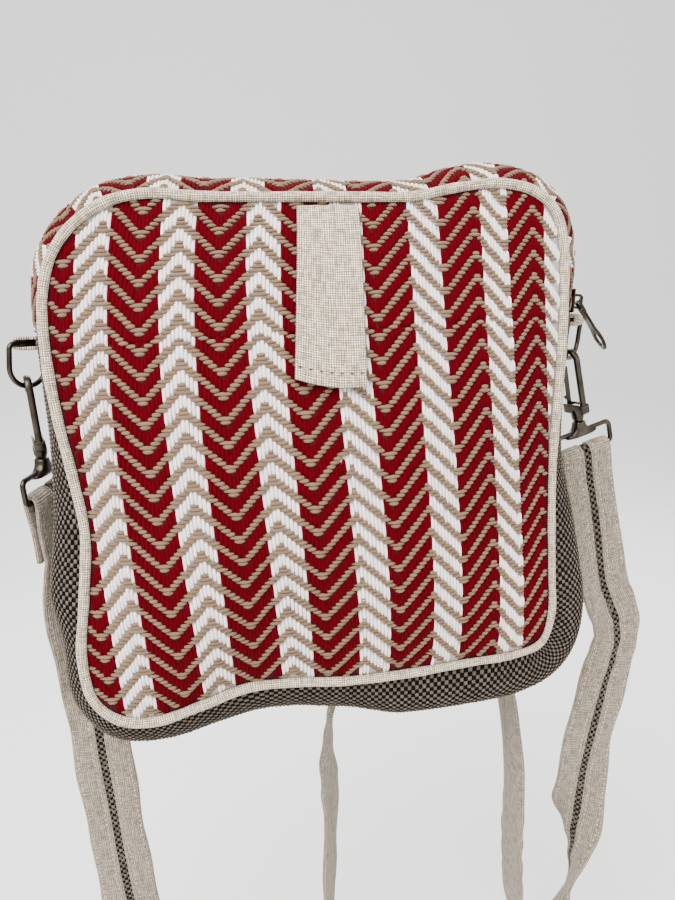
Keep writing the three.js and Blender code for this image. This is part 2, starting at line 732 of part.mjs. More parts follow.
// The claw over the ring, its stem and the barrel below it.
function hookBody(side) {
  const { top, down, toStem, depth } = hookFrame(side);
  const point = (p, a) => top.clone().addScaledVector(toStem, p).addScaledVector(down, a);
  const middle = THROAT + STEM_WIDE / 2;
  const crown = middle - RING_WIRE - STEM_WIDE / 2 - 1.4;
  const centre = point(0, crown);
  const claw = [
    point(middle, BARREL_TOP + 1),
    ...arc(centre, toStem, down.clone().negate(), middle, 0, 180, 10),
    point(-middle + 0.1, crown + 3),
  ];
  const sectionOf = (p, way) => {
    const a = v3().crossVectors(way, depth).normalize().multiplyScalar(STEM_WIDE / 2);
    const d = depth.clone().multiplyScalar(STEM_DEEP / 2);
    return [
      [1, 0.55],
      [0.55, 1],
      [-0.55, 1],
      [-1, 0.55],
      [-1, -0.55],
      [-0.55, -1],
      [0.55, -1],
      [1, -0.55],
    ].map(([i, j]) => p.clone().addScaledVector(a, i).addScaledVector(d, j));
  };
  const rings = claw.map((p, i) => {
    const before = claw[Math.max(i - 1, 0)];
    const after = claw[Math.min(i + 1, claw.length - 1)];
    return sectionOf(p, after.clone().sub(before).normalize());
  });
  const hook = ringsToGeometry(rings, false);
  const level = BARREL_TOP + 1.8;
  const shoulderFrom = point(middle + STEM_WIDE / 2, level);
  const shoulder = bar(shoulderFrom, point(-middle - 1.4, level), down, 5, STEM_DEEP + 2);
  const slotFrom = middle - GATE_INSET - GATE_WIDE / 2 - GAP;
  const slot = new THREE.Shape();
  slot.moveTo(-middle - 3, level - 9);
  slot.lineTo(-slotFrom + 9 * Math.tan(radians(GATE_PRESS + 2)), level - 9);
  slot.lineTo(-slotFrom, level);
  slot.lineTo(-slotFrom, level + 9);
  slot.lineTo(-middle - 3, level + 9);
  const across = v3().crossVectors(toStem, down);
  const cutter = pushed(slot, top, toStem, down, across, GATE_DEEP + 2 * GAP);
  const cheeks = asGeometry(asManifold(shoulder).subtract(asManifold(cutter)));
  const barrel = turned(
    point(0, BARREL_TOP + 1.6),
    down,
    [
      { along: 0, radius: 3.0 },
      { along: 1.2, radius: BARREL_RADIUS },
      { along: BARREL_LONG - 3.2, radius: BARREL_RADIUS },
      { along: BARREL_LONG - 1.6, radius: BARREL_RADIUS * 0.86 },
    ],
    12,
  );
  return joined(hook, cheeks, barrel);
}

// The sprung lever that closes the claw, pivoting at its foot.
function gateFrame(side) {
  const { top, down, toStem, depth } = hookFrame(side);
  const middle = THROAT + STEM_WIDE / 2;
  const foot = top.clone().addScaledVector(toStem, GATE_INSET - middle);
  foot.addScaledVector(down, BARREL_TOP + 1.6);
  return { foot, down, toStem, depth, middle };
}

function hookGate(side) {
  const { foot, down, toStem } = gateFrame(side);
  const tip = foot.clone().addScaledVector(down, GATE_TIP - BARREL_TOP - 1.6).addScaledVector(toStem, GATE_LEAN);
  const lever = bar(foot.clone().addScaledVector(down, 0.8), tip, toStem, GATE_WIDE, GATE_DEEP);
  const knob = turned(
    foot.clone().addScaledVector(down, -5).addScaledVector(toStem, -GATE_WIDE / 2 + 0.2),
    toStem.clone().negate(),
    [
      { along: 0, radius: 1.2 },
      { along: 1.0, radius: 1.2 },
      { along: 1.6, radius: 0.8 },
    ],
    8,
  );
  return joined(lever, knob);
}

// The swivel base below the barrel and the wire eye that carries the strap.
function eyeFrame(side) {
  const { top, down } = hookFrame(side);
  const barWay = aboutZ(side.eyeTurn);
  barWay.addScaledVector(down, -barWay.dot(down)).normalize();
  const baseAt = top.clone().addScaledVector(down, BARREL_TOP + BARREL_LONG + GAP);
  const barAt = baseAt.clone().addScaledVector(down, BASE_LONG + EYE_DROP);
  return { top, down, barWay, baseAt, barAt };
}

function hookEye(side) {
  const { down, barWay, baseAt, barAt } = eyeFrame(side);
  const flare = [
    { along: 0, wide: 3.2, deep: 3.2 },
    { along: 2.2, wide: 3.4, deep: 3.2 },
    { along: 4.4, wide: 5.2, deep: 3.4 },
    { along: 6.0, wide: 8.6, deep: 3.6 },
    { along: BASE_LONG, wide: 9.4, deep: 3.6 },
  ];
  const deepWay = v3().crossVectors(down, barWay);
  const base = ringsToGeometry(
    flare.map((row) =>
      even(0, 360, 14).slice(0, 14).map((angle) => {
        const p = baseAt.clone().addScaledVector(down, row.along);
        p.addScaledVector(barWay, row.wide * Math.cos(radians(angle)));
        return p.addScaledVector(deepWay, row.deep * Math.sin(radians(angle)));
      }),
    ),
    false,
  );
  const point = (s, d) => barAt.clone().addScaledVector(barWay, s).addScaledVector(down, d);
  const bend = EYE_BEND;
  const high = -EYE_DROP - 1.9;
  const corner = (side2, level, from) =>
    arc(
      point(side2 * (EYE_HALF - bend), level + (level < -2 ? bend : -bend)),
      barWay.clone().multiplyScalar(side2),
      down,
      bend,
      from,
      from + 90,
      4,
    );
  const upperRight = corner(1, high, -90);
  const lowerRight = corner(1, 0, 0);
  const lowerLeft = corner(-1, 0, 0).reverse();
  const upperLeft = corner(-1, high, -90).reverse();
  const crossBar = even(8, -8, 2).map((s) => point(s, 0));
  const loop = [point(0, high), ...upperRight, ...lowerRight, ...crossBar, ...lowerLeft, ...upperLeft];
  return joined(base, wire(loop, EYE_WIRE, true, 6));
}

// Rows of the strap's fold round one eye, from its hidden end to where it leaves the fold.
function foldRows(side, startsHere) {
  const { barAt, barWay, down } = eyeFrame(side);
  const away = v3().crossVectors(startsHere ? down : down.clone().negate(), barWay).normalize();
  const ring = EYE_WIRE + GAP + STRAP_WALL / 2;
  const near = STRAP_WALL / 2 + 0.35;
  const place = (m, d) => barAt.clone().addScaledVector(away, m).addScaledVector(down, d);
  const hidden = [place(-near, FOLD_LONG), place(-near, FOLD_LONG / 2), place(-ring * 0.86, 5.5)];
  const over = even(180, 0, 8).map((angle) =>
    place(ring * Math.cos(radians(angle)), -ring * Math.sin(radians(angle))),
  );
  const shown = [place(ring * 0.86, 5.5), place(near, FOLD_LONG / 2), place(near, FOLD_LONG)];
  const rows = [...hidden, ...over, ...shown].map((p) => ({ at: p, way: barWay.clone() }));
  return startsHere ? rows : rows.reverse();
}

const strapRows = [
  ...foldRows(SIDES.left, true),
  ...STRAP_ROUTE.map((row) => ({ at: v3(row.x, row.y, row.z), way: aboutZ(row.turn) })),
  ...foldRows(SIDES.right, false),
];
const strapCurve = new THREE.CatmullRomCurve3(strapRows.map((row) => row.at), false, "centripetal");

// Frames along the strap: place, direction, width and outer face.
function strapFrames() {
  const lastRow = strapRows.length - 1;
  const inFold = (i) => i < 13 || i >= lastRow - 13;
  const frames = [];
  strapRows.forEach((row, i) => {
    const next = strapRows[Math.min(i + 1, lastRow)];
    const after = strapRows[Math.min(i + 2, lastRow)];
    const twist = row.way.angleTo(next.way);
    const bend = next.at.clone().sub(row.at).angleTo(after.at.clone().sub(next.at));
    const turning = Math.max(twist, bend);
    const pieces = inFold(i) ? 1 : Math.min(1 + Math.floor(turning / 0.16), 6);
    for (let k = 0; k < pieces; k += 1) {
      const share = k / pieces;
      const t = Math.min((i + share) / lastRow, 1);
      const tangent = strapCurve.getTangent(t);
      const way = row.way.clone().lerp(next.way, share);
      way.addScaledVector(tangent, -way.dot(tangent)).normalize();
      frames.push({ at: strapCurve.getPoint(t), way, face: v3().crossVectors(tangent, way).normalize() });
    }
  });
  return frames;
}

function alongStrap(section) {
  const rings = strapFrames().map(({ at, way, face }) =>
    section.map(([w, n]) => at.clone().addScaledVector(way, w).addScaledVector(face, n)),
  );
  return ringsToGeometry(rings, false);
}

function strapBand() {
  const [w, n, g] = [STRAP_WIDE / 2, STRAP_WALL / 2, GROOVE_WIDE / 2];
  return alongStrap([
    [-w, -n],
    [w, -n],
    [w, n],
    [g, n],
    [g, n - GROOVE_DEEP],
    [-g, n - GROOVE_DEEP],
    [-g, n],
    [-w, n],
  ]);
}

function strapStripe() {
  const w = STRIPE_WIDE / 2;
  const low = STRAP_WALL / 2 - GROOVE_DEEP + 0.45;
  return alongStrap([
    [w, low],
    [-w, low],
    [-w, low + STRIPE_WALL],
    [w, low + STRIPE_WALL],
  ]);
}

const bag = new THREE.Group();
bag.name = "hemp_shoulder_bag";

function add(name, geometry, colour, roughness, metalness) {
  const material = new THREE.MeshStandardMaterial({ color: colour, roughness, metalness });
  const mesh = new THREE.Mesh(geometry, material);
  mesh.name = name;
  bag.add(mesh);
  return mesh;
}

const CHEVRON = "#97202c";
const CHECK = "#6d6861";
const LINEN = "#d8cbb9";
const GUNMETAL = "#6b655d";
const TAPE = "#3a3634";

const frontShape = (x, z, inside) => -frontHeight(x, z) + inside;
const backShape = (x, z, inside) => BACK_PUFF * pillow(x, z) - inside;

add("front_panel", panel(frontShape, FRONT_Y, 0, 0, PANEL_WALL, STATIONS, 7), CHEVRON, 0.85, 0);
add("back_panel", panel(backShape, BACK_Y, BACK_SHIFT, BACK_DROP, PANEL_WALL, STATIONS, 3), CHECK, 0.9, 0);
add("front_piping", piping(FRONT_Y, 0, 0), LINEN, 0.9, 0);
add("back_piping", piping(BACK_Y, BACK_SHIFT, BACK_DROP), LINEN, 0.9, 0);
add("lower_gusset", lowerGusset(), CHECK, 0.9, 0);
add("upper_gusset_front", upperGusset(0, 0.5 - ZIP_OPENING), CHEVRON, 0.85, 0);
add("upper_gusset_back", upperGusset(0.5 + ZIP_OPENING, 1), CHEVRON, 0.85, 0);
add("zip_tape", zipTape(), TAPE, 0.8, 0);
add("zip_slider", zipSlider(), GUNMETAL, 0.35, 1);
add("zip_pull", zipPull(), GUNMETAL, 0.35, 1);
add("front_tab", frontTab(), LINEN, 0.9, 0);
Object.entries(SIDES).forEach(([name, side]) => {
  add(`ring_loop_${name}`, ringLoop(side), LINEN, 0.9, 0);
  add(`d_ring_${name}`, dRing(side), GUNMETAL, 0.35, 1);
  add(`hook_body_${name}`, hookBody(side), GUNMETAL, 0.35, 1);
  add(`hook_gate_${name}`, hookGate(side), GUNMETAL, 0.35, 1);
  add(`hook_eye_${name}`, hookEye(side), GUNMETAL, 0.35, 1);
});
add("strap_band", strapBand(), LINEN, 0.9, 0);
add("strap_stripe", strapStripe(), CHECK, 0.9, 0);

export default bag;
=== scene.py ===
import bmesh
import bpy
import numpy as np
from bpy.props import FloatProperty, FloatVectorProperty, PointerProperty
from mathutils import Matrix


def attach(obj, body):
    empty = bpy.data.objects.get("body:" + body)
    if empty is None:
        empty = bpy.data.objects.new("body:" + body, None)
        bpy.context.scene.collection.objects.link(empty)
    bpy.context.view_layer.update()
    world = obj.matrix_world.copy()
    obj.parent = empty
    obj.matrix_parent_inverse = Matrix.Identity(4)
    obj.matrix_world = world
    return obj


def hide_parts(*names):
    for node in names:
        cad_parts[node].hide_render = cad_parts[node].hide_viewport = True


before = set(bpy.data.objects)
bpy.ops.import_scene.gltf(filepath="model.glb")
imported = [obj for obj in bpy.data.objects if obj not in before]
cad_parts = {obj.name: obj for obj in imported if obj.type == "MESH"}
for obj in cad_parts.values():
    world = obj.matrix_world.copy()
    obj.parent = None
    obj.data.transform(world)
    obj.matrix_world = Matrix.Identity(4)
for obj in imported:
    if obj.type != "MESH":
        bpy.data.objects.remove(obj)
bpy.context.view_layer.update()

bl_info = {
    "name": "Hemp shoulder bag",
    "version": (1, 0, 0),
    "blender": (4, 5, 0),
    "location": "3D View > Sidebar > Bag",
    "description": "Dresses a small shoulder bag in chevron cloth, check hemp, linen and gunmetal",
    "category": "Object",
}

MM = 0.001
RANDOM_SEED = 7
BACKWARD = np.array([0, 1.0, 0])
UPWARD = np.array([0, 0, 1.0])

# Bag body, in millimetres, as in the solids
FRONT_Y = -24.0
BACK_Y = 24.0
BACK_SHIFT = 4.0
BACK_DROP = 4.0
MIDDLE_X = -1.0
MIDDLE_Z = 124.0
FRONT_PUFF = 22.0
BACK_PUFF = 13.0
PUFF_POWER = 2.2
OVAL_REACH = 122.0
SWELL_POWER = 0.9
PANEL_THICK = 2.2
GUSSET_THICK = 1.6
PIPING_RADIUS = 2.2
GAP = 0.4
MARGIN = PIPING_RADIUS + GAP
GUSSET_DEEP = BACK_Y - FRONT_Y - 2 * MARGIN
JUNCTION_LEFT_Z = 183.0
JUNCTION_RIGHT_Z = 181.5
JUNCTION_GAP = 0.0006
ZIP_OPENING = 0.065

# Front seam, clockwise from the top middle: x, z and the swell of the gusset beside it
SEAM = np.array([
    (0, 232.8, 13.5), (24, 232.1, 13), (45, 231.9, 13), (66, 235.2, 15), (84, 236.4, 15.5),
    (100, 232.6, 15.5), (109.5, 224, 15), (113, 210, 14), (113, 192, 12), (111.6, 172, 10.5),
    (108.6, 144, 10), (105, 115, 12), (103.3, 85, 19), (102.6, 60, 23), (101.5, 38, 25.5),
    (96, 26, 27), (84, 22, 28), (60, 20.8, 28.5), (30, 19.4, 27), (2, 19.6, 19.6),
    (-22, 22, 18.4), (-42, 22.2, 18.5), (-62, 17, 17), (-82, 12.4, 16.5), (-97, 14.6, 17),
    (-107.5, 24.6, 14.5), (-110.8, 44, 12.5), (-107.6, 70, 19.5), (-104.6, 98, 18.5),
    (-107.2, 122, 14), (-110.8, 146, 9.5), (-113, 172, 8), (-112.2, 196, 10), (-107.5, 212, 12.5),
    (-98, 224.4, 14), (-84, 233, 14.5), (-68, 236, 14), (-46, 234.2, 14), (-22, 233.4, 14),
])

# Dents and swellings of the front panel: x, z, reach in x, reach in z, depth
DENTS = (
    (-22, 48, 26, 36, 5.0),
    (-72, 62, 30, 40, -3.0),
    (86, 96, 24, 48, 2.5),
    (2, 196, 34, 30, 2.0),
)

# Tab on the front panel: corners as x, z, and the share of its length where the hem is sewn
TAB_TOP = ((-6.6, 228.9), (19.6, 228.4))
TAB_LOW = ((-14.6, 157.2), (14.4, 152.2))
TAB_THICK = 1.5
TAB_HEM = 0.925
TAB_STITCHES = 14

# Chevron cloth: white ends of a stripe, ends of a stripe and of a zigzag, picks of one repeat
WHITE_ENDS = 9
STRIPE_ENDS = 22
ZIGZAG_ENDS = 20.15
ZIGZAG_PEAK = 6.5
REPEAT_PICKS = 6
WARP_PICKS = 4
WHITE_PICKS = 3
PICK_PITCH = 1.64
PICK_TILT = 0.005
END_PITCH = 1.605
MIDDLE_END = 64
FAULT_Z = 176.0
SHIFT_ABOVE = 4.15
SHIFT_BELOW = 3.05
# End number as a polynomial of x and z in decimetres from the panel's middle: powers, factor
END_TERMS = (
    (0, 0, 63.4), (1, 0, 62.068), (2, 0, 1.986), (3, 0, 2.224), (0, 1, 2.391),
    (1, 1, -0.051), (2, 1, -0.329), (0, 2, -2.289), (1, 2, 1.494), (0, 3, -1.902),
)
ENDS_A_MM = 0.62
# Yarns: half width, half height, rise above the cloth and dive at the ends, in millimetres
YARN_SIZES = {
    "white": (0.82, 0.78, 0.42, 1.0),
    "red": (1.02, 0.66, 0.2, 0.7),
    "weft": (0.86, 0.7, 0.44, 0.9),
}
# Girth of a yarn's oval section over the sum of its half sides, nearly
OVAL_GIRTH = 3.14
# Picks or ends by which a float reaches past its last crossing
OVERLAP = {"white": 0.8, "red": 0.5, "weft": 0.5}
GUSSET_CLOTH_WIDE = 52.0

# Check cloth: share of a cell that its bead fills, bead height, cells across the gusset
CELL_SHARE = 0.66
CELL_HIGH = 0.8
GUSSET_CELLS = 33
BACK_BOX = (-114.0, 114.0, 10.0, 236.0)
# Weave coordinates in millimetres a turn of the seam, and across the gusset
SEAM_MM = 700
ACROSS_MM = 55

# Rings and hooks
RING_WIRE = 1.2
RING_WIDE = 18.0
RING_TALL = 19.0
RING_BEND = 2.4
LOOP_WIDE = 12.4
LOOP_THICK = 1.4
STEM_WIDE = 2.4
STEM_DEEP = 3.2
THROAT = 3.8
HANG_BACK = 0.24
GATE_HALF = 1.6
BARREL_TOP = 25.0
BARREL_LONG = 8.5
BARREL_RADIUS = 3.1
BASE_LONG = 7.5
EYE_WIRE = 1.3
EYE_HALF = 17.8
EYE_BEND = 2.6
EYE_DROP = 9.5
SIDES = {
    "left": {"bar": (-125.6, 7.6, 179.4), "ring_turn": -47, "ring_lean": 1, "claw_turn": -76,
             "eye_turn": 68, "eye_at": (-126, 20.5, 110), "out": -1},
    "right": {"bar": (133, 7.6, 176.4), "ring_turn": -45, "ring_lean": -1, "claw_turn": -72,
              "eye_turn": 190, "eye_at": (142, 20, 106), "out": 1},
}
# Half barrel profile of a hook and bell profile of its eye's base: along, then radius or half sides
BARREL_ROWS = (
    (0, 2.0), (0.3, 2.5), (1.2, 2.95), (2.0, BARREL_RADIUS), (BARREL_LONG - 3.6, BARREL_RADIUS),
    (BARREL_LONG - 3.0, BARREL_RADIUS * 0.97), (BARREL_LONG - 2.4, BARREL_RADIUS * 0.88),
    (BARREL_LONG - 1.7, BARREL_RADIUS * 0.84), (BARREL_LONG - 1.6, BARREL_RADIUS * 0.8),
)
BASE_ROWS = np.array([
    (0, 2.6, 2.6), (0.3, 3.0, 3.0), (1.2, 3.2, 3.1), (2.4, 3.5, 3.2), (3.4, 4.1, 3.25),
    (4.4, 5.2, 3.35), (5.2, 6.7, 3.45), (5.8, 8.2, 3.6), (6.0, 9.0, 3.7), (6.2, 9.3, 3.75),
    (7.2, 9.4, 3.7), (BASE_LONG, 9.0, 3.4),
])

# Strap
STRAP_HALF = 15.0
STRAP_THICK = 2.4
STRIP_WIDE = 5.3
STRIP_PITCH = 1.7
FOLD_LONG = 30.0
STITCH_START = 34
STITCH_PITCH = 1.55
STITCH_ROWS = (-4.7, 4.7, -12.6, 12.6)
# Length at each end that lies flat round the eye, and the length over which ripples grow
STRAP_FLAT = 42
STRAP_EASE = 40
# Strap centre line from the left eye to the right eye: x, y, z and the turn of its width about Z
STRAP_ROUTE = np.array([
    (-123.6, 29, 60, 47), (-120.4, 36.5, 30, 25), (-118, 41, 0, 8), (-116.6, 45, -35, 0),
    (-115, 49, -64, 0), (-112.6, 56, -110, 0), (-110, 60, -140, 16), (-105, 63, -168, 48),
    (-93, 65, -197, 80), (-68, 66, -214, 90), (-38, 65, -214, 90), (-14, 63, -197, 90),
    (-3, 61, -168, 84), (0, 56, -120, 70), (1, 52, -70, 66), (4, 49, -28, 76), (16, 48, 6, 88),
    (40, 48, 24, 90), (70, 48, 22, 90), (95, 48, 4, 90), (105, 49, -26, 90), (107.4, 52, -62, 89),
    (108, 56, -100, 89), (108.6, 60, -136, 89), (110.5, 63, -172, 90), (117, 63, -187, 90),
    (127, 62, -192, 90), (137, 61, -187, 88), (142.4, 58, -171, 68), (143.6, 55, -153, 54),
    (144.2, 51, -134, 76), (144.6, 47, -114, 120), (145.2, 42, -92, 162), (147, 35, -62, 178),
    (155.5, 31, -26, 182), (162, 27, 8, 186), (152.5, 24, 38, 188),
])
# Half of the strap's section, from the middle of its back to the middle of its front: width, height
STRAP_SECTION = np.array([
    (0.0, -0.7), (0.5, -0.85), (1.2, -1.2), (3.0, -1.45), (7.0, -1.5), (11.0, -1.45), (13.6, -1.3),
    (14.6, -1.0), (15.0, -0.5), (15.0, 0.4), (14.6, 1.0), (13.6, 1.3), (12.6, 1.25), (11.6, 1.45),
    (8.0, 1.6), (5.6, 1.5), (4.7, 1.2), (4.0, 1.5), (3.0, 1.55), (2.3, 1.35), (2.0, 1.0),
    (2.4, 0.6), (1.5, 0.4), (0.0, 0.4),
])

# Stage, in metres
CAMERA_AT = (-0.0527, -0.3673, 0.1644)
CAMERA_RIGHT = (0.9833, -0.1716, -0.0607)
CAMERA_UP = (0.0789, 0.1014, 0.9917)
CAMERA_BACK = (-0.164, -0.9799, 0.1132)
SENSOR_TALL = 36
FLOOR_Z = -0.25
FLOOR_HALF = 4.0
FLOOR_NEAR = -3.0
BACKDROP_BEND = 1.2
BACKDROP_Y = 2.6
BACKDROP_TOP = 3.2
SKY_STRENGTH = 2.0
# Soft lights: name, place, side, share of the key light; all aim at one point
LIGHT_AIM = np.array([0, 0, 0.1])
LIGHTS = (
    ("key light", (-0.7, -1.1, 1.3), 1.4, 1.0),
    ("fill light", (1.1, -0.9, 0.5), 1.2, 0.1),
    ("back light", (0.2, 1.3, 1.2), 1.4, 0.5),
)


def linear(hex_text):
    """Turns an sRGB hex colour into linear red, green, blue and 1."""
    value = np.array([int(hex_text[i:i + 2], 16) for i in (1, 3, 5)]) / 255
    bright = ((value + 0.055) / 1.055) ** 2.4
    return (*(float(c) for c in np.where(value <= 0.04045, value / 12.92, bright)), 1.0)


def colour(name, words, hex_text):
    """A colour setting with its name, description and sRGB default."""
    return FloatVectorProperty(
        name=name, description=words, subtype="COLOR", size=4, min=0, max=1, default=linear(hex_text)
    )


class BagCloth(bpy.types.PropertyGroup):
    """Colours and thread sizes of the cloths."""

    red: colour("Red", "Red cotton warp", "#53000A")
    white: colour("White", "Bleached cotton warp", "#F6ECE8")
    # Beige of unbleached yarn, darkened as painted shade for the weft lying between the warp floats
    weft: colour("Weft", "Unbleached two-ply weft, darkened as painted shade", "#7E6650")
    black: colour("Black", "Black hemp thread", "#0C0A09")
    pale: colour("Off-white", "Off-white hemp thread", "#62584F")
    linen: colour("Linen", "Natural linen", "#F6E1C5")
    linen_gap: colour("Linen gap", "Shade between linen threads", "#5C4E40")
    tape: colour("Zip tape", "Woven zip tape", "#2C2826")
    linen_pitch: FloatProperty(
        name="Linen pitch", description="Spacing of the linen threads",
        default=0.001, min=0.0003, max=0.003, precision=5, unit="LENGTH",
    )
    check_pitch: FloatProperty(
        name="Check pitch", description="Spacing of the check cells",
        default=0.00185, min=0.001, max=0.006, precision=5, unit="LENGTH",
    )


class BagMetal(bpy.types.PropertyGroup):
    """Finish of rings, hooks and zip."""

    nickel: colour("Antique nickel", "Rings and hooks", "#463F37")
    bronze: colour("Dark bronze", "Zip slider and pull", "#3A3127")
    roughness: FloatProperty(
        name="Roughness", description="Polish of the plating",
        default=0.3, min=0, max=1, subtype="FACTOR",
    )


class BagStage(bpy.types.PropertyGroup):
    """Floor, light and camera."""

    floor: colour("Floor", "Pale floor and backdrop", "#DCDCDA")
    sky: colour("Sky", "Even light from all round", "#E4E5E6")
    key: FloatProperty(
        name="Key light", description="Strength of the main light",
        default=95.0, min=0, unit="POWER",
    )
    lens: FloatProperty(
        name="Lens", description="Focal length on a 36 mm tall sensor",
        default=32.0, min=5, unit="CAMERA",
    )


# Curves and surfaces of the bag

def unit(vectors):
    """Vectors of length one."""
    return vectors / np.maximum(np.linalg.norm(vectors, axis=-1, keepdims=True), 1e-9)


def run_along(line):
    """Length so far at each row of a line of points."""
    return np.concatenate([[0], np.cumsum(np.linalg.norm(np.diff(line, axis=0), axis=1))])


def turns(count):
    """Angles of a full turn in equal steps."""
    return np.linspace(0, 2 * np.pi, count, endpoint=False)


def circle(a, b, count):
    """Unit circles in the planes of directions a and b: a times the cosine plus b times the sine."""
    angle = turns(count)[:, None]
    return a[..., None, :] * np.cos(angle) + b[..., None, :] * np.sin(angle)


def grid(first, second):
    """All pairs of two rows of values, the first along rows."""
    return np.stack(np.meshgrid(first, second, indexing="ij"), -1)


def spline(points, t, closed):
    """Smooth curve through rows of points, each with an equal share of t.

    Cubic pieces meet with one slope, weighted by the square roots of the steps beside it.
    """
    points = np.asarray(points, float)
    count = len(points)
    t = np.asarray(t, float)
    if closed:
        place = np.mod(t, 1) * count
        padded = np.vstack([points[-1:], points, points[:2]])
    else:
        place = np.clip(t, 0, 1) * (count - 1)
        ends = 2 * points[:1] - points[1:2], 2 * points[-1:] - points[-2:-1]
        padded = np.vstack([ends[0], points, ends[1]])
    whole = np.minimum(np.floor(place).astype(int), count - (1 if closed else 2))
    share = (place - whole)[..., None]
    p0, p1, p2, p3 = (padded[whole + k] for k in range(4))
    pairs = ((p0, p1), (p1, p2), (p2, p3))
    spans = [np.linalg.norm(b - a, axis=-1, keepdims=True) for a, b in pairs]
    d0, d1, d2 = (np.maximum(span, 1e-6) ** 0.5 for span in spans)
    m1 = ((p1 - p0) / d0 - (p2 - p0) / (d0 + d1) + (p2 - p1) / d1) * d1
    m2 = ((p2 - p1) / d1 - (p3 - p1) / (d1 + d2) + (p3 - p2) / d2) * d1
    square = 3 * (p2 - p1) - 2 * m1 - m2
    cubic = 2 * (p1 - p2) + m1 + m2
    return p1 + share * (m1 + share * (square + share * cubic))


SEAM_ROWS = np.stack([SEAM[:, 0], np.zeros(len(SEAM)), SEAM[:, 1]], 1)
SWELL_ROWS = np.stack([SEAM[:, 2], 0.01 * np.arange(len(SEAM)), np.zeros(len(SEAM))], 1)


def seam_at(t):
    """The front seam in its own plane."""
    return spline(SEAM_ROWS, t, True)


def seam_out(t):
    """Outward direction of the seam: its tangent turned a quarter."""
    along = seam_at(t + 0.002) - seam_at(t - 0.002)
    return unit(np.stack([-along[..., 2], np.zeros(along.shape[:-1]), along[..., 0]], -1))


def gusset(t, v):
    """Gusset: the seam moved out by swell times a sine of v, from the front seam to the back."""
    t, v = np.broadcast_arrays(np.asarray(t, float), np.asarray(v, float))
    rise = np.sin(np.pi * np.clip(v, 0, 1)) ** SWELL_POWER
    swell = spline(SWELL_ROWS, t, True)[..., 0]
    point = seam_at(t) + seam_out(t) * (swell * rise)[..., None]
    point[..., 0] += BACK_SHIFT * v
    point[..., 2] -= BACK_DROP * v
    point[..., 1] = FRONT_Y + MARGIN + GUSSET_DEEP * v
    return point


def gusset_normal(t, v):
    """Outward unit normal of the gusset, by small steps."""
    v = np.clip(v, 0.012, 0.988)
    along = gusset(t + 0.001, v) - gusset(t - 0.001, v)
    across = gusset(t, v + 0.01) - gusset(t, v - 0.01)
    normal = unit(np.cross(along, across))
    out = seam_out(np.broadcast_to(t, v.shape))
    return normal * np.sign(np.sum(normal * out, -1, keepdims=True))


def gusset_sheet(t, v, sunk, deep, uv):
    """Sheet under the gusset's face, from one depth to another."""
    face, out = gusset(t, v), gusset_normal(t, v)
    return slab(face - out * sunk, face - out * deep, uv)


def seam_place(z, side):
    """Seam parameter at a height on the right or left edge, by halving."""
    low, high = (0.4, 0.18) if side > 0 else (0.66, 0.84)
    for _ in range(40):
        middle = (low + high) / 2
        low, high = (middle, high) if seam_at(middle)[2] < z else (low, middle)
    return (low + high) / 2


JUNCTION_LEFT = seam_place(JUNCTION_LEFT_Z, -1)
JUNCTION_RIGHT = seam_place(JUNCTION_RIGHT_Z, 1)
UPPER_ENDS = (JUNCTION_LEFT - 1 + JUNCTION_GAP, JUNCTION_RIGHT - JUNCTION_GAP)
LOWER_ENDS = (JUNCTION_RIGHT + JUNCTION_GAP, JUNCTION_LEFT - JUNCTION_GAP)

EDGE_T = np.linspace(0, 1, 1441)[:-1]
EDGE = seam_at(EDGE_T) - MARGIN * seam_out(EDGE_T) - np.array([MIDDLE_X, 0, MIDDLE_Z])
EDGE_ANGLE = np.arctan2(EDGE[:, 2], EDGE[:, 0])
EDGE_REACH = np.hypot(EDGE[:, 0], EDGE[:, 2])


def edge_share(x, z):
    """Share of the way from the panel's middle to its edge."""
    dx, dz = x - MIDDLE_X, z - MIDDLE_Z
    reach = np.interp(np.arctan2(dz, dx), EDGE_ANGLE, EDGE_REACH, period=2 * np.pi)
    return np.hypot(dx, dz) / reach


def pillow(x, z):
    """A pillow's rise, 1 in the middle and 0 at the edge: round inside, like the edge outside."""
    share = np.minimum(edge_share(x, z), 1)
    oval = np.hypot(x - MIDDLE_X, z - MIDDLE_Z) / OVAL_REACH
    return 1 - np.minimum(oval + (share - oval) * share**3, 1) ** PUFF_POWER


def front_height(x, z):
    """Height of the front panel before its seam plane: the pillow less bell-shaped dents."""
    share = np.minimum(edge_share(x, z), 1)
    dent = sum(d * np.exp(-(((x - a) / p) ** 2) - ((z - b) / q) ** 2) for a, b, p, q, d in DENTS)
    return FRONT_PUFF * pillow(x, z) - dent * (1 - share**6)


def front_point(x, z):
    """Point of the front panel's outer face."""
    return np.stack([x, FRONT_Y - front_height(x, z), z], -1)


def back_point(x, z):
    """Point of the back panel's outer face, above panel place x, z."""
    return np.stack([x + BACK_SHIFT, BACK_Y + BACK_PUFF * pillow(x, z), z - BACK_DROP], -1)


def slope_normal(point, x, z, side):
    """Unit normal of a panel face by small steps, towards the front (-1) or the back (1)."""
    step = 0.4
    across = point(x + step, z) - point(x - step, z)
    upward = point(x, z + step) - point(x, z - step)
    normal = unit(np.cross(across, upward))
    return normal * (np.sign(normal[..., 1:2]) * side)


def end_number(x, z):
    """Warp end of the front cloth at panel place x, z."""
    across, up = x / 100, (z - MIDDLE_Z) / 100
    return sum(factor * across**i * up**j for i, j, factor in END_TERMS)


def end_place(end, z):
    """Panel x of a warp end at height z, by repeated correction of a straight guess."""
    x = (end - MIDDLE_END) * END_PITCH
    for _ in range(9):
        x = x - (end_number(x, z) - end) / ENDS_A_MM
    return x


# Meshes from arrays

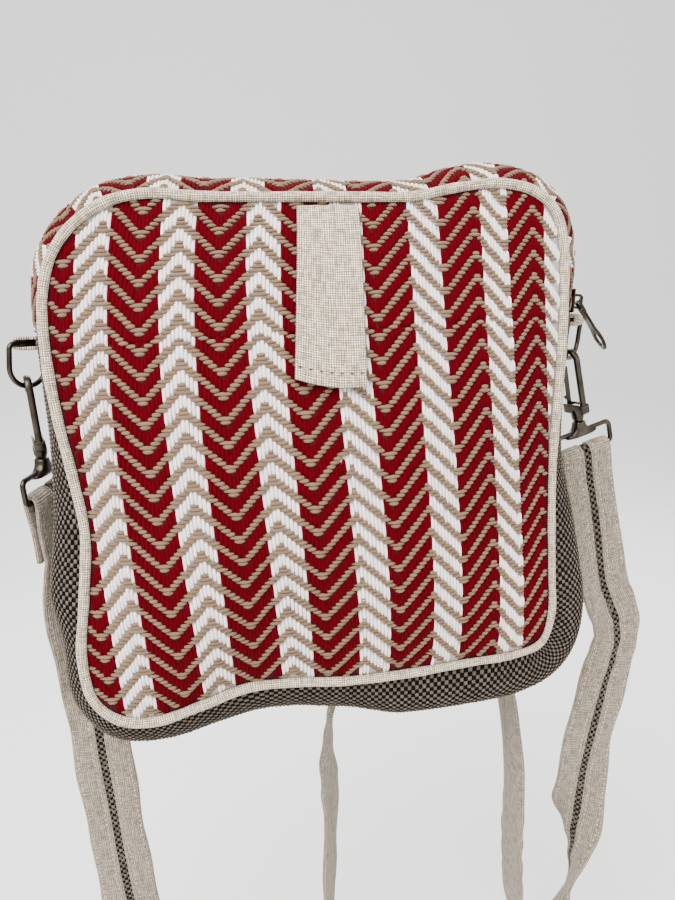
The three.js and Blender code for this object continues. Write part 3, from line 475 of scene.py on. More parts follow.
class Shell:
    """Points, faces of four and three corners with weave coordinates, and a shade per point."""

    def __init__(self, points, quads, quad_uv, tris, tri_uv, shade):
        self.points = points
        self.quads = quads
        self.quad_uv = quad_uv
        self.tris = tris
        self.tri_uv = tri_uv
        self.shade = shade

    def outward(self):
        """Turns the faces so that the enclosed volume is positive."""
        split = np.vstack([self.quads[:, [0, 1, 2]], self.quads[:, [0, 2, 3]], self.tris])
        a, b, c = (self.points[split[:, k]] for k in range(3))
        if np.sum(a * np.cross(b, c)) < 0:
            self.quads, self.quad_uv = self.quads[:, ::-1], self.quad_uv[:, ::-1]
            self.tris, self.tri_uv = self.tris[:, ::-1], self.tri_uv[:, ::-1]
        return self

    def without_tips(self, kept):
        """Keeps the first points and drops the triangles that end in the tips after them."""
        self.points, self.shade = self.points[:kept], self.shade[:kept]
        self.tris, self.tri_uv = self.tris[:0], self.tri_uv[:0]


def tubes(rings, tips, uv, shade=None):
    """Closed tubes: rings (count, rows, round, 3) joined row to row, each end drawn to its tip."""
    count, rows, around, _ = rings.shape
    size = rows * around + 2
    points = np.concatenate([rings.reshape(count, -1, 3), tips], 1).reshape(-1, 3)
    base = np.arange(count)[:, None, None] * size
    i = np.arange(rows - 1)[None, :, None]
    j = np.arange(around)[None, None, :]
    k = (j + 1) % around
    corners = (i * around + j, (i + 1) * around + j, (i + 1) * around + k, i * around + k)
    quads = np.stack([base + corner for corner in corners], -1).reshape(-1, 4)
    uv = np.broadcast_to(uv, (count, rows, around + 1, 2))
    sides = (uv[:, :-1, :-1], uv[:, 1:, :-1], uv[:, 1:, 1:], uv[:, :-1, 1:])
    quad_uv = np.stack(sides, -2).reshape(-1, 4, 2)
    j, k, base = j[0], k[0], base[:, 0]
    tip, last = base + rows * around, base + (rows - 1) * around
    near = np.stack(np.broadcast_arrays(tip, base + j, base + k), -1)
    far = np.stack(np.broadcast_arrays(tip + 1, last + k, last + j), -1)
    a, b = uv[:, [0, -1], :-1], uv[:, [0, -1], 1:]
    middle = (a + b) / 2
    near_uv = np.stack([middle[:, 0], a[:, 0], b[:, 0]], -2)
    far_uv = np.stack([middle[:, 1], b[:, 1], a[:, 1]], -2)
    tris = np.concatenate([near.reshape(-1, 3), far.reshape(-1, 3)])
    tri_uv = np.concatenate([near_uv.reshape(-1, 3, 2), far_uv.reshape(-1, 3, 2)])
    shade = np.full(count, 0.5) if shade is None else shade
    return Shell(points, quads, quad_uv, tris, tri_uv, np.repeat(shade, size)).outward()


def sweep(rings, uv=None, tips=None, closed=False):
    """One tube through rings (rows, round, 3): open ones end in their middles, closed ones join up."""
    if closed:
        rings = np.concatenate([rings, rings[:1]])
    if uv is None:
        girth = run_along(np.concatenate([rings[0], rings[0, :1]]))
        uv = grid(run_along(rings.mean(1)), girth)
    if tips is None:
        tips = rings[[0, -1]].mean(1)
    shell = tubes(rings[None], np.asarray(tips)[None], uv[None])
    if closed:
        kept = (len(rings) - 1) * rings.shape[1]
        shell.quads = shell.quads % kept
        shell.without_tips(kept)
    return shell


def slab(outer, inner, uv):
    """A sheet with a thickness: rows of two faces as one flat tube, its ends closed by strips."""
    rings = np.concatenate([outer, inner[:, ::-1]], 1)
    face_uv = np.concatenate([uv, uv[:, ::-1], uv[:, :1]], 1)
    shell = tubes(rings[None], rings[None, [0, -1]].mean(2), face_uv[None])
    rows, around = rings.shape[:2]
    turned = shell.quads[0, 0] != 0
    j = np.arange(outer.shape[1] - 1)
    facing = np.stack([j, j + 1, around - 2 - j, around - 1 - j], 1)
    for row, order in ((0, [0, 1, 2, 3]), (rows - 1, [3, 2, 1, 0])):
        order = order[:1] + order[:0:-1] if turned else order
        strip = facing[:, order]
        shell.quads = np.concatenate([shell.quads, row * around + strip])
        shell.quad_uv = np.concatenate([shell.quad_uv, face_uv[row, strip]])
    shell.without_tips(rows * around)
    return shell.outward()


def joined(shells):
    """Several shells as one."""
    starts = np.cumsum([0] + [len(s.points) for s in shells])[:-1]
    return Shell(
        np.concatenate([s.points for s in shells]),
        np.concatenate([s.quads + k for s, k in zip(shells, starts)]),
        np.concatenate([s.quad_uv for s in shells]),
        np.concatenate([s.tris + k for s, k in zip(shells, starts)]),
        np.concatenate([s.tri_uv for s in shells]),
        np.concatenate([s.shade for s in shells]),
    )


def only(shell, kept, size):
    """The tubes of a shell that are kept, each of one number of points."""
    keep_points = np.repeat(kept, size)
    renumber = np.cumsum(keep_points) - 1
    quads, tris = keep_points[shell.quads[:, 0]], keep_points[shell.tris[:, 0]]
    return Shell(
        shell.points[keep_points],
        renumber[shell.quads[quads]],
        shell.quad_uv[quads],
        renumber[shell.tris[tris]],
        shell.tri_uv[tris],
        shell.shade[keep_points],
    )


def shown(name, mesh, material):
    """A smooth object of a mesh with one material, linked to the scene."""
    mesh.materials.clear()
    mesh.materials.append(material)
    mesh.polygons.foreach_set("use_smooth", np.ones(len(mesh.polygons), bool))
    made = bpy.data.objects.new(name, mesh)
    bpy.context.scene.collection.objects.link(made)
    return made


def piece(name, shells, material, body="bag", stands_for=()):
    """Puts shells, in millimetres, into a mesh object that rides on a body."""
    shell = joined(shells)
    mesh = bpy.data.meshes.new(name)
    mesh.vertices.add(len(shell.points))
    mesh.vertices.foreach_set("co", (shell.points * MM).astype(np.float32).ravel())
    corners = np.concatenate([shell.quads.ravel(), shell.tris.ravel()])
    mesh.loops.add(len(corners))
    mesh.loops.foreach_set("vertex_index", corners.astype(np.int32))
    first_tri = len(shell.quads) * 4
    starts = np.concatenate([np.arange(0, first_tri, 4), np.arange(first_tri, len(corners), 3)])
    mesh.polygons.add(len(starts))
    mesh.polygons.foreach_set("loop_start", starts.astype(np.int32))
    mesh.update(calc_edges=True)
    weave = mesh.uv_layers.new(name="weave")
    flat = np.concatenate([shell.quad_uv.reshape(-1, 2), shell.tri_uv.reshape(-1, 2)])
    weave.data.foreach_set("uv", flat.astype(np.float32).ravel())
    shade = mesh.attributes.new("shade", "FLOAT", "POINT")
    shade.data.foreach_set("value", shell.shade.astype(np.float32))
    mesh.validate()
    made = shown(name, mesh, material)
    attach(made, body)
    if stands_for:
        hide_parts(*stands_for)
    return made


def softened(name, node, material, body, width):
    """A copy of a hard node whose merged edges are rounded by a bevel of one width, in millimetres."""
    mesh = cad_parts[node].data.copy()
    work = bmesh.new()
    work.from_mesh(mesh)
    bmesh.ops.remove_doubles(work, verts=work.verts, dist=0.00002)
    bmesh.ops.dissolve_limit(work, angle_limit=0.05, verts=work.verts, edges=work.edges)
    work.to_mesh(mesh)
    work.free()
    made = shown(name, mesh, material)
    bevel = made.modifiers.new("rounded edges", "BEVEL")
    bevel.width = width * MM
    bevel.segments = 3
    bevel.limit_method = "ANGLE"
    bevel.angle_limit = 0.5
    bevel.harden_normals = True
    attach(made, body)
    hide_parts(node)
    return made


# Yarns on a cloth

def yarns(place, normal, ends, starts, stops, along_ends, size, rows, rng):
    """Floats of yarn: each runs from start to stop on the cloth, and dives at its ends.

    The height falls by the third power of the distance from the middle, and the oval section
    narrows to a tip. place and normal take cloth coordinates; size is a row of YARN_SIZES.
    """
    half_wide, half_high, rise, dive = size
    around = 6
    s = np.linspace(0.05, 0.95, rows)
    count = len(ends)
    s_all = np.concatenate([[0], s, [1]])
    run = starts[:, None] + (stops - starts)[:, None] * s_all
    fixed = np.broadcast_to(ends[:, None], run.shape)
    first, second = (run, fixed) if along_ends else (fixed, run)
    centre = place(first, second)
    out = normal(first, second)
    path = np.gradient(centre, axis=1)
    side = unit(np.cross(path, out))
    bend = np.abs(2 * s_all - 1)
    lift = rise - half_high - dive * bend**3 + rng.normal(0, 0.06, (count, 1))
    centre = centre + out * lift[..., None]
    full = np.sqrt(np.maximum(1 - bend**3.2, 0))[1:-1]
    angle = turns(around)
    wide = half_wide * rng.uniform(0.94, 1.06, (count, 1)) * full
    high = half_high * full[None, :, None]
    spread = side[:, 1:-1, None] * (wide[..., None] * np.cos(angle))[..., None]
    spread = spread + out[:, 1:-1, None] * (high * np.sin(angle))[..., None]
    rings = centre[:, 1:-1, None] + spread
    long_mm = np.linalg.norm(centre[:, -1] - centre[:, 0], axis=-1)
    girth = OVAL_GIRTH * (half_wide + half_high)
    u = s[None, :, None] * long_mm[:, None, None] + rng.uniform(0, 40, (count, 1, 1))
    v = np.broadcast_to(np.linspace(0, girth, around + 1), (count, rows, around + 1))
    uv = np.stack(np.broadcast_arrays(u, v), -1)
    return tubes(rings, centre[:, [0, -1]], uv, rng.uniform(0, 1, count))


def climb(end):
    """Zigzag of the twill: picks climbed at an end, up by one an end to the peak and down again."""
    half = ZIGZAG_ENDS / 2
    return half - np.abs((end - ZIGZAG_PEAK + half) % ZIGZAG_ENDS - half)


def is_white(end):
    """Whether an end is white: the first few of every stripe."""
    return np.mod(end, STRIPE_ENDS) < WHITE_ENDS


def picks_over(end):
    """Picks that an end floats over: white ends a pick less than red ones."""
    return np.where(is_white(end), WHITE_PICKS, WARP_PICKS)


def twill(first_end, last_end, first_pick, last_pick):
    """Warp floats (end, start, stop) and weft floats (pick, start, stop) of the chevron."""
    ends = np.arange(first_end, last_end + 1)
    repeats = np.arange(first_pick // REPEAT_PICKS - 2, last_pick // REPEAT_PICKS + 2)
    end_grid, repeat_grid = np.meshgrid(ends, repeats, indexing="ij")
    start = climb(end_grid) + REPEAT_PICKS * repeat_grid
    stop = start + picks_over(end_grid)
    warp = np.stack([end_grid.ravel(), start.ravel(), stop.ravel()], 1)
    weft = []
    for pick in range(first_pick, last_pick + 1):
        over = np.mod(pick - climb(ends), REPEAT_PICKS) >= picks_over(ends)
        steps = np.diff(np.concatenate([[0], over.astype(int), [0]]))
        begins = ends[0] + np.flatnonzero(steps > 0)
        finishes = ends[0] + np.flatnonzero(steps < 0)
        weft.append(np.stack([np.full(len(begins), pick), begins, finishes], 1))
    return warp.astype(float), np.concatenate(weft).astype(float)


def clipped(runs, low, high):
    """Runs cut to limits, without those that get too short."""
    cut = runs.copy()
    cut[:, 1] = np.maximum(cut[:, 1], low)
    cut[:, 2] = np.minimum(cut[:, 2], high)
    return cut[cut[:, 2] - cut[:, 1] > 0.8]


def within(runs, inside, along_ends):
    """Runs drawn back to where inside(end, pick) holds, by halving from their middles."""
    middle = (runs[:, 1] + runs[:, 2]) / 2

    def holds(place):
        return inside(place, runs[:, 0] + 0.5) if along_ends else inside(runs[:, 0] + 0.5, place)

    kept = holds(middle)
    result = runs.copy()
    for column in (1, 2):
        good, bad = middle.copy(), runs[:, column].copy()
        whole = holds(bad)
        for _ in range(14):
            half = (good + bad) / 2
            fits = holds(half)
            good = np.where(fits, half, good)
            bad = np.where(fits, bad, half)
        result[:, column] = np.where(whole, runs[:, column], good)
    return result[kept & (result[:, 2] - result[:, 1] > 0.6)]


def chevron_yarns(name, place, normal, warp, weft):
    """White, red and weft yarns of one chevron cloth, as three pieces, their ends a little uneven."""
    look = looks()
    rng = np.random.default_rng(RANDOM_SEED)
    jitter = rng.normal(0, 0.26, (len(warp), 2))
    warp = warp + np.stack([np.zeros(len(warp)), jitter[:, 0], jitter[:, 1]], 1)
    white = is_white(warp[:, 0])
    for label, runs, along_ends, rows in (
        ("white", warp[white], False, 5), ("red", warp[~white], False, 5), ("weft", weft, True, 4),
    ):
        over = OVERLAP[label]
        shell = yarns(place, normal, runs[:, 0] + 0.5, runs[:, 1] - over, runs[:, 2] + over,
                      along_ends, YARN_SIZES[label], rows, rng)
        label_name = f"{name}_weft" if along_ends else f"{name}_{label}_warp"
        piece(label_name, [shell], look[label])


def dots(place, normal, u_count, v_count, high, rise, rng):
    """Cells of a plain check weave: a flat four-sided bead in each, its shade telling its colour."""
    i, j = grid(np.arange(u_count), np.arange(v_count)).reshape(-1, 2).T
    u, v = (i + 0.5) / u_count, (j + 0.5) / v_count
    centre, out = place(u, v), normal(u, v)
    across = place(u + 0.5 / u_count, v) - place(u - 0.5 / u_count, v)
    upward = place(u, v + 0.5 / v_count) - place(u, v - 0.5 / v_count)
    angle = turns(4)[:, None] + np.pi / 4
    pale = (i + j) % 2 == 0
    size = CELL_SHARE * rng.uniform(0.93, 1.08, len(i)) * np.where(pale, 1.06, 0.98)
    top = np.where(pale, rise, rise - 0.2) + rng.normal(0, 0.05, len(i))
    turn = across[:, None] * np.cos(angle) + upward[:, None] * np.sin(angle)
    rings = centre[:, None] + turn * size[:, None, None]
    rings = rings + out[:, None] * (top - 0.45 * high)[:, None, None]
    tips = np.stack([centre + out * (top - high)[:, None], centre + out * top[:, None]], 1)
    uv = np.broadcast_to(np.stack([i * 2.0, j * 2.0], -1)[:, None, None], (len(i), 1, 5, 2))
    shade = np.where(pale, 0.75, 0.25) + rng.uniform(-0.2, 0.2, len(i))
    return tubes(rings[:, None], tips, uv, shade)


def stitches(points, outs, half, thick):
    """A row of sewn stitches: short threads from point to point, bowed out along outs."""
    s = np.linspace(0, 1, 5)
    starts, stops = points[0::2], points[1::2]
    out = outs[0::2]
    centre = starts[:, None] + (stops - starts)[:, None] * s[:, None]
    centre = centre + out[:, None] * ((1 - (2 * s - 1) ** 2) * half - 0.15)[:, None]
    path = unit(stops - starts)[:, None]
    side = unit(np.cross(path, out[:, None]))
    rings = centre[:, 1:-1, None] + circle(side, out[:, None], 6) * thick
    return tubes(rings, centre[:, [0, -1]], grid(s[1:-1] * 3, np.linspace(0, 2, 7))[None])


# Materials

# A mix of two colours: its factor is input 0, its colours inputs 6 and 7, its result output 2
MIX = {"kind": "ShaderNodeMix", "data_type": "RGBA"}
MIXED = 2
# Bands of a wave texture lie a tenth of pi over its scale apart, diagonal ones twice as far
WAVE_SCALE = 0.3142
DIAGONAL_SCALE = 0.628


def add_node(material, kind, inputs=None, **settings):
    """Adds a node with its settings, and sets its inputs or links them to other sockets."""
    made = material.node_tree.nodes.new(kind)
    for key, value in settings.items():
        setattr(made, key, value)
    for key, value in (inputs or {}).items():
        if isinstance(value, bpy.types.NodeSocket):
            material.node_tree.links.new(value, made.inputs[key])
        else:
            made.inputs[key].default_value = value
    return made


def new_material(name, roughness, metallic=0.0, sheen=0.0, specular=0.2):
    """A material with one Principled shader and its constant values; returns both."""
    made = bpy.data.materials.new(name)
    made.use_nodes = True
    shader = made.node_tree.nodes["Principled BSDF"]
    shader.inputs["Roughness"].default_value = roughness
    shader.inputs["Metallic"].default_value = metallic
    shader.inputs["Sheen Weight"].default_value = sheen
    shader.inputs["Sheen Roughness"].default_value = 0.5
    shader.inputs["Specular IOR Level"].default_value = specular
    return made, shader


def surfaced(material, shader, tone, height, strength, depth):
    """Links a colour and a relief, its depth in millimetres, to the shader."""
    relief = {"Height": height, "Strength": strength, "Distance": depth * MM}
    bumped = add_node(material, "ShaderNodeBump", relief)
    material.node_tree.links.new(tone, shader.inputs["Base Color"])
    material.node_tree.links.new(bumped.outputs["Normal"], shader.inputs["Normal"])
    return material


def darker(rgba, factor):
    """A colour times a factor."""
    return (*(c * factor for c in tuple(rgba)[:3]), 1.0)


def yarn_material(name, rgba, dark, twist_mm, fuzz, sheen):
    """Spun yarn: each float a little lighter or darker, plies winding round it with painted shade
    between them, and fibre fuzz.
    """
    made, shader = new_material(name, 0.95, 0.0, sheen, 0.05)
    uv = add_node(made, "ShaderNodeUVMap", uv_map="weave").outputs["UV"]
    shade = add_node(made, "ShaderNodeAttribute", attribute_name="shade").outputs["Fac"]
    winding = {"Vector": uv, "Scale": DIAGONAL_SCALE / twist_mm, "Distortion": 0.8, "Detail": 1.0}
    plies = add_node(made, "ShaderNodeTexWave", winding, bands_direction="DIAGONAL").outputs["Fac"]
    fibre = add_node(made, "ShaderNodeTexNoise", {"Vector": uv, "Scale": 2.2, "Detail": 3.0})
    base = add_node(made, inputs={0: shade, 6: darker(rgba, 0.82), 7: tuple(rgba)}, **MIX)
    # Painted shade: the colour falls to the dark factor in the grooves between the plies
    lit = add_node(made, "ShaderNodeMapRange", {"Value": plies, "From Max": 0.6}).outputs["Result"]
    tone = add_node(made, inputs={0: lit, 6: darker(rgba, dark), 7: base.outputs[MIXED]}, **MIX)
    height = add_node(made, "ShaderNodeMath", {0: plies, 1: fibre.outputs["Fac"]}, operation="ADD")
    return surfaced(made, shader, tone.outputs[MIXED], height.outputs[0], fuzz, 0.3)


def linen_material(name, rgba, gap, pitch):
    """Plain-woven natural linen: slubby threads both ways, with painted shade in the pinholes between
    them.
    """
    made, shader = new_material(name, 0.9, 0.0, 0.15)
    uv = add_node(made, "ShaderNodeUVMap", uv_map="weave").outputs["UV"]
    weave = {"Vector": uv, "Scale": WAVE_SCALE / pitch, "Distortion": 2.2, "Detail": 1.0,
             "Detail Scale": 0.6}
    waves, slubs = [], []
    for way, stretch in (("X", (1.0, 0.14, 1.0)), ("Y", (0.14, 1.0, 1.0))):
        waves.append(add_node(made, "ShaderNodeTexWave", weave, bands_direction=way).outputs["Fac"])
        drawn = add_node(made, "ShaderNodeMapping", {"Vector": uv, "Scale": stretch}).outputs[0]
        uneven = {"Vector": drawn, "Scale": 1.3, "Detail": 3.0}
        slubs.append(add_node(made, "ShaderNodeTexNoise", uneven).outputs["Fac"])
    raised, thick = (
        add_node(made, "ShaderNodeMath", {0: a, 1: b}, operation="ADD").outputs[0]
        for a, b in (waves, slubs)
    )
    pale = add_node(made, "ShaderNodeMapRange", {"Value": thick, "From Min": 0.88, "From Max": 1.08})
    cloth = {0: pale.outputs["Result"], 6: darker(rgba, 0.42), 7: tuple(rgba)}
    threads = add_node(made, inputs=cloth, **MIX).outputs[MIXED]
    # Painted shade: where the threads sink, the colour falls to the gap colour
    filled = add_node(made, "ShaderNodeMapRange", {"Value": raised, "From Min": 0.4, "From Max": 1.3})
    tone = add_node(made, inputs={0: filled.outputs["Result"], 6: gap, 7: threads}, **MIX)
    return surfaced(made, shader, tone.outputs[MIXED], raised, 0.8, 0.4)


def check_material(name, black, pale):
    """Hemp check: black and off-white cells, told apart by their shade, with fibre streaks."""
    made, shader = new_material(name, 1.0, specular=0.04)
    uv = add_node(made, "ShaderNodeUVMap", uv_map="weave").outputs["UV"]
    shade = add_node(made, "ShaderNodeAttribute", attribute_name="shade").outputs["Fac"]
    fibre = add_node(made, "ShaderNodeTexNoise", {"Vector": uv, "Scale": 3.0, "Detail": 3.0})
    light = add_node(made, "ShaderNodeMapRange", {"Value": shade, "From Min": 0.55, "From Max": 0.95})
    cell = {0: light.outputs["Result"], 6: darker(pale, 0.7), 7: tuple(pale)}
    pale_tone = add_node(made, inputs=cell, **MIX).outputs[MIXED]
    side = add_node(made, "ShaderNodeMath", {0: shade, 1: 0.5}, operation="GREATER_THAN").outputs[0]
    tone = add_node(made, inputs={0: side, 6: tuple(black), 7: pale_tone}, **MIX).outputs[MIXED]
    return surfaced(made, shader, tone, fibre.outputs["Fac"], 0.4, 0.3)


def ground_material(name, red, white):
    """The cloth between the floats: red or white by its end number, in shadow."""
    made, shader = new_material(name, 0.95)
    uv = add_node(made, "ShaderNodeUVMap", uv_map="weave").outputs["UV"]
    end = add_node(made, "ShaderNodeSeparateXYZ", {0: uv}).outputs["X"]
    stripe = {0: end, 1: float(STRIPE_ENDS)}
    place = add_node(made, "ShaderNodeMath", stripe, operation="FLOORED_MODULO").outputs[0]
    first = {0: place, 1: float(WHITE_ENDS)}
    side = add_node(made, "ShaderNodeMath", first, operation="LESS_THAN").outputs[0]
    fibre = add_node(made, "ShaderNodeTexNoise", {"Vector": uv, "Scale": 1.5}).outputs["Fac"]
    tone = add_node(made, inputs={0: side, 6: darker(red, 0.45), 7: darker(white, 0.35)}, **MIX)
    return surfaced(made, shader, tone.outputs[MIXED], fibre, 0.4, 0.4)


def metal_material(name, rgba, roughness):
    """Plated and rubbed metal: dark in patches that are seldom touched, with tumbling marks."""
    made, shader = new_material(name, roughness, 1.0, specular=0.5)
    where = add_node(made, "ShaderNodeTexCoord").outputs["Object"]
    # Patches about 6 mm across, and marks of about 1 mm
    noises = ({"Vector": where, "Scale": 160.0, "Detail": 4.0},
              {"Vector": where, "Scale": 900.0, "Detail": 2.0})
    patch, fine = (add_node(made, "ShaderNodeTexNoise", noise).outputs["Fac"] for noise in noises)
    rubbed = add_node(made, "ShaderNodeMapRange", {"Value": patch, "From Min": 0.35, "From Max": 0.65})
    tones = {0: rubbed.outputs["Result"], 6: darker(rgba, 0.55), 7: tuple(rgba)}
    tone = add_node(made, inputs=tones, **MIX).outputs[MIXED]
    polish = {"Value": patch, "To Min": roughness + 0.12, "To Max": roughness - 0.08}
    polished = add_node(made, "ShaderNodeMapRange", polish).outputs["Result"]
    made.node_tree.links.new(polished, shader.inputs["Roughness"])
    return surfaced(made, shader, tone, fine, 0.12, 0.05)


def tape_material(name, rgba):
    """Woven polyester tape: close ribs across it, with painted shade between them."""
    made, shader = new_material(name, 0.75)
    uv = add_node(made, "ShaderNodeUVMap", uv_map="weave").outputs["UV"]
    close = {"Vector": uv, "Scale": WAVE_SCALE / 0.8, "Distortion": 0.4}
    ribs = add_node(made, "ShaderNodeTexWave", close).outputs["Fac"]
    # Painted shade: darker in the troughs between the ribs
    tone = add_node(made, inputs={0: ribs, 6: darker(rgba, 0.6), 7: tuple(rgba)}, **MIX)
    return surfaced(made, shader, tone.outputs[MIXED], ribs, 0.5, 0.2)


LOOKS = {}


def looks():
    """The bag's materials, made once from the settings."""
    if LOOKS:
        return LOOKS
    cloth = bpy.context.scene.bag_cloth
    metal = bpy.context.scene.bag_metal
    gap = tuple(cloth.linen_gap)
    # Coarser than real linen's half millimetre, which would be lost at this distance
    pitch = cloth.linen_pitch / MM
    # The strap's webbing is the linen darkened all over as painted shade
    webbing, grey = darker(cloth.linen, 0.47), darker(cloth.linen_gap, 0.8)
    # Deep matt red, with painted shade between its plies
    LOOKS["red"] = yarn_material("red cotton yarn", cloth.red, 0.5, 1.1, 0.7, 0.0)
    # Bright soft white that carries the zigzag
    LOOKS["white"] = yarn_material("bleached cotton yarn", cloth.white, 0.7, 1.3, 0.6, 0.1)
    # Beige corded lines between the warp floats, the beige darkened as painted shade of the floats
    # beside them
    LOOKS["weft"] = yarn_material("two-ply unbleached yarn", cloth.weft, 0.6, 1.25, 0.7, 0.1)
    # Shadow in the gaps of the chevron
    LOOKS["ground"] = ground_material("chevron cloth ground", cloth.red, cloth.white)
    # Dry dark check, speckled at a distance
    LOOKS["check"] = check_material("check hemp", cloth.black, cloth.pale)
    # Pale slubby cloth with painted shade in its pinholes
    LOOKS["linen"] = linen_material("natural linen", cloth.linen, gap, pitch)
    # The same linen darkened all over: painted shade on the strap
    LOOKS["webbing"] = linen_material("linen webbing in painted shade", webbing, gap, pitch)
    # Fine pale stitches that hardly stand out
    LOOKS["thread"] = yarn_material("linen sewing thread", cloth.linen, 0.75, 0.5, 0.3, 0.0)
    # Grey stitches that draw the tab's hem
    LOOKS["dark_thread"] = yarn_material("grey sewing thread", grey, 0.75, 0.5, 0.3, 0.0)
    # Dark glints on rings and hooks
    LOOKS["nickel"] = metal_material("antique nickel plate", metal.nickel, metal.roughness)
    # Browner and darker glints on the zip
    LOOKS["bronze"] = metal_material("dark bronze plate", metal.bronze, metal.roughness)
    # Dull dark line under the teeth
    LOOKS["tape"] = tape_material("woven zip tape", cloth.tape)
    return LOOKS


# Cloth of the body

def panel_shell(point, side, sunk, steps, cloth_uv):
    """A puffed panel: rings from its middle to its edge on the outer face and back on the inner one."""
    t = np.linspace(0, 1, 240, endpoint=False)
    edge = seam_at(t) - MARGIN * seam_out(t)
    share = (np.arange(1, steps + 1) / steps) ** 0.8 * 1.012
    x = MIDDLE_X + (edge[:, 0] - MIDDLE_X) * share[:, None]
    z = MIDDLE_Z + (edge[:, 2] - MIDDLE_Z) * share[:, None]
    face = point(x, z)
    inward = BACKWARD * -side
    rings = np.concatenate([face + inward * sunk, (face + inward * PANEL_THICK)[::-1]])
    middle = point(np.array(MIDDLE_X), np.array(MIDDLE_Z))
    tips = np.stack([middle + inward * sunk, middle + inward * PANEL_THICK])
    uv = cloth_uv(x, z)
    uv = np.concatenate([uv, uv[::-1]])
    uv = np.concatenate([uv, uv[:, :1]], 1)
    return sweep(rings, uv, tips)


def front_cloth():
    """Front panel: a ground sheet with the chevron's yarns on it, shifted at the weaving fault."""

    def ground_uv(x, z):
        return np.stack([end_number(x, z), (z - PICK_TILT * x) / PICK_PITCH], -1)

    def spot(end, pick):
        z = pick * PICK_PITCH + PICK_TILT * END_PITCH * (end - MIDDLE_END)
        return end_place(end, z), z

    def place(end, pick):
        return front_point(*spot(end, pick))

    def normal(end, pick):
        return slope_normal(front_point, *spot(end, pick), -1)

    def inside(end, pick):
        return edge_share(*spot(end, pick)) < 1.002

    ground = panel_shell(front_point, -1, 0.75, 40, ground_uv)
    piece("front_cloth", [ground], looks()["ground"], stands_for=["front_panel"])
    warp, weft = twill(-12, 150, 0, 152)
    fault = FAULT_Z / PICK_PITCH
    warps, wefts = [], []
    for shift, low, high in ((SHIFT_ABOVE, fault, 160.0), (SHIFT_BELOW, -5.0, fault)):
        warps.append(clipped(warp - np.array([0, shift, shift]), low, high))
        moved = weft - np.array([shift, 0, 0])
        wefts.append(moved[(moved[:, 0] >= low - 0.5) & (moved[:, 0] < high - 0.5)])
    warp = within(np.concatenate(warps), inside, False)
    weft = within(np.concatenate(wefts), inside, True)
    chevron_yarns("front", place, normal, warp, weft)


def upper_gusset():
    """Upper gusset on both sides of the zip: the same cloth, its stripes from front to back."""
    t_line = np.linspace(*UPPER_ENDS, 400)
    run = run_along(gusset(t_line, 0.3))
    zero_end = end_number(np.array(0.0), np.array(SEAM[0, 1])) + 4
    end_line = zero_end + (run - np.interp(0, t_line, run)) / END_PITCH
    picks = GUSSET_CLOTH_WIDE / PICK_PITCH

    def t_of(end):
        return np.interp(end, end_line, t_line)

    def place(end, pick):
        return gusset(t_of(end), pick * PICK_PITCH / GUSSET_CLOTH_WIDE)

    def normal(end, pick):
        return gusset_normal(t_of(end), pick * PICK_PITCH / GUSSET_CLOTH_WIDE)

    warp, weft = twill(int(np.floor(end_line[0])) + 1, int(end_line[-1]) - 1, -2, 36)
    front, back = 0.5 - ZIP_OPENING, 0.5 + ZIP_OPENING
    for name, low, high, edge in (
        ("front", 0.0, front - 0.01, (-0.03, front)), ("back", back + 0.01, 1.0, (back, 1.03)),
    ):
        lowest, highest = low * picks, high * picks
        warp_here = clipped(warp, lowest, highest)
        weft_here = weft[(weft[:, 0] > lowest - 0.3) & (weft[:, 0] < highest - 0.7)]
        t, v = np.moveaxis(grid(np.linspace(*UPPER_ENDS, 180), np.linspace(*edge, 14)), -1, 0)
        uv = np.stack([np.interp(t, t_line, end_line), v * picks], -1)
        ground = gusset_sheet(t, v, 0.7, GUSSET_THICK, uv)
        piece(f"upper_gusset_{name}_cloth", [ground], looks()["ground"],
              stands_for=[f"upper_gusset_{name}"])
        chevron_yarns(f"upper_gusset_{name}", place, normal, warp_here, weft_here)


def check_cloth():
    """Lower gusset and back panel: a dark ground with black and off-white cells."""
    look = looks()["check"]
    rng = np.random.default_rng(RANDOM_SEED)
    pitch = bpy.context.scene.bag_cloth.check_pitch / MM
    t_line = np.linspace(*LOWER_ENDS, 300)
    run = run_along(gusset(t_line, 0.5))
    share = run / run[-1]

    def place(u, v):
        return gusset(np.interp(u, share, t_line), v)

    def normal(u, v):
        return gusset_normal(np.interp(u, share, t_line), v)

    cells = dots(place, normal, int(run[-1] / pitch), GUSSET_CELLS, CELL_HIGH, 0.35, rng)
    t, v = np.moveaxis(grid(t_line, np.linspace(-0.03, 1.03, 20)), -1, 0)
    ground = gusset_sheet(t, v, 0.25, GUSSET_THICK, np.stack([t * SEAM_MM, v * ACROSS_MM], -1))
    ground.shade[:] = 0.2
    piece("lower_gusset_cloth", [ground, cells], look, stands_for=["lower_gusset"])

    low_x, high_x, low_z, high_z = BACK_BOX
    columns, rows = int((high_x - low_x) / pitch), int((high_z - low_z) / pitch)

    def spot(u, v):
        return low_x + (high_x - low_x) * u, low_z + (high_z - low_z) * v

    def back_place(u, v):
        return back_point(*spot(u, v))

    def back_normal(u, v):
        return slope_normal(back_point, *spot(u, v), 1)

    def panel_uv(x, z):
        return np.stack([x, z], -1)

    cells = dots(back_place, back_normal, columns, rows, CELL_HIGH, 0.3, rng)
    i, j = grid(np.arange(columns), np.arange(rows)).reshape(-1, 2).T
    inside = edge_share(*spot((i + 0.5) / columns, (j + 0.5) / rows)) < 0.985
    cells = only(cells, inside, len(cells.points) // len(i))
    ground = panel_shell(back_point, 1, 0.3, 24, panel_uv)
    ground.shade[:] = 0.2
    piece("back_cloth", [ground, cells], look, stands_for=["back_panel"])


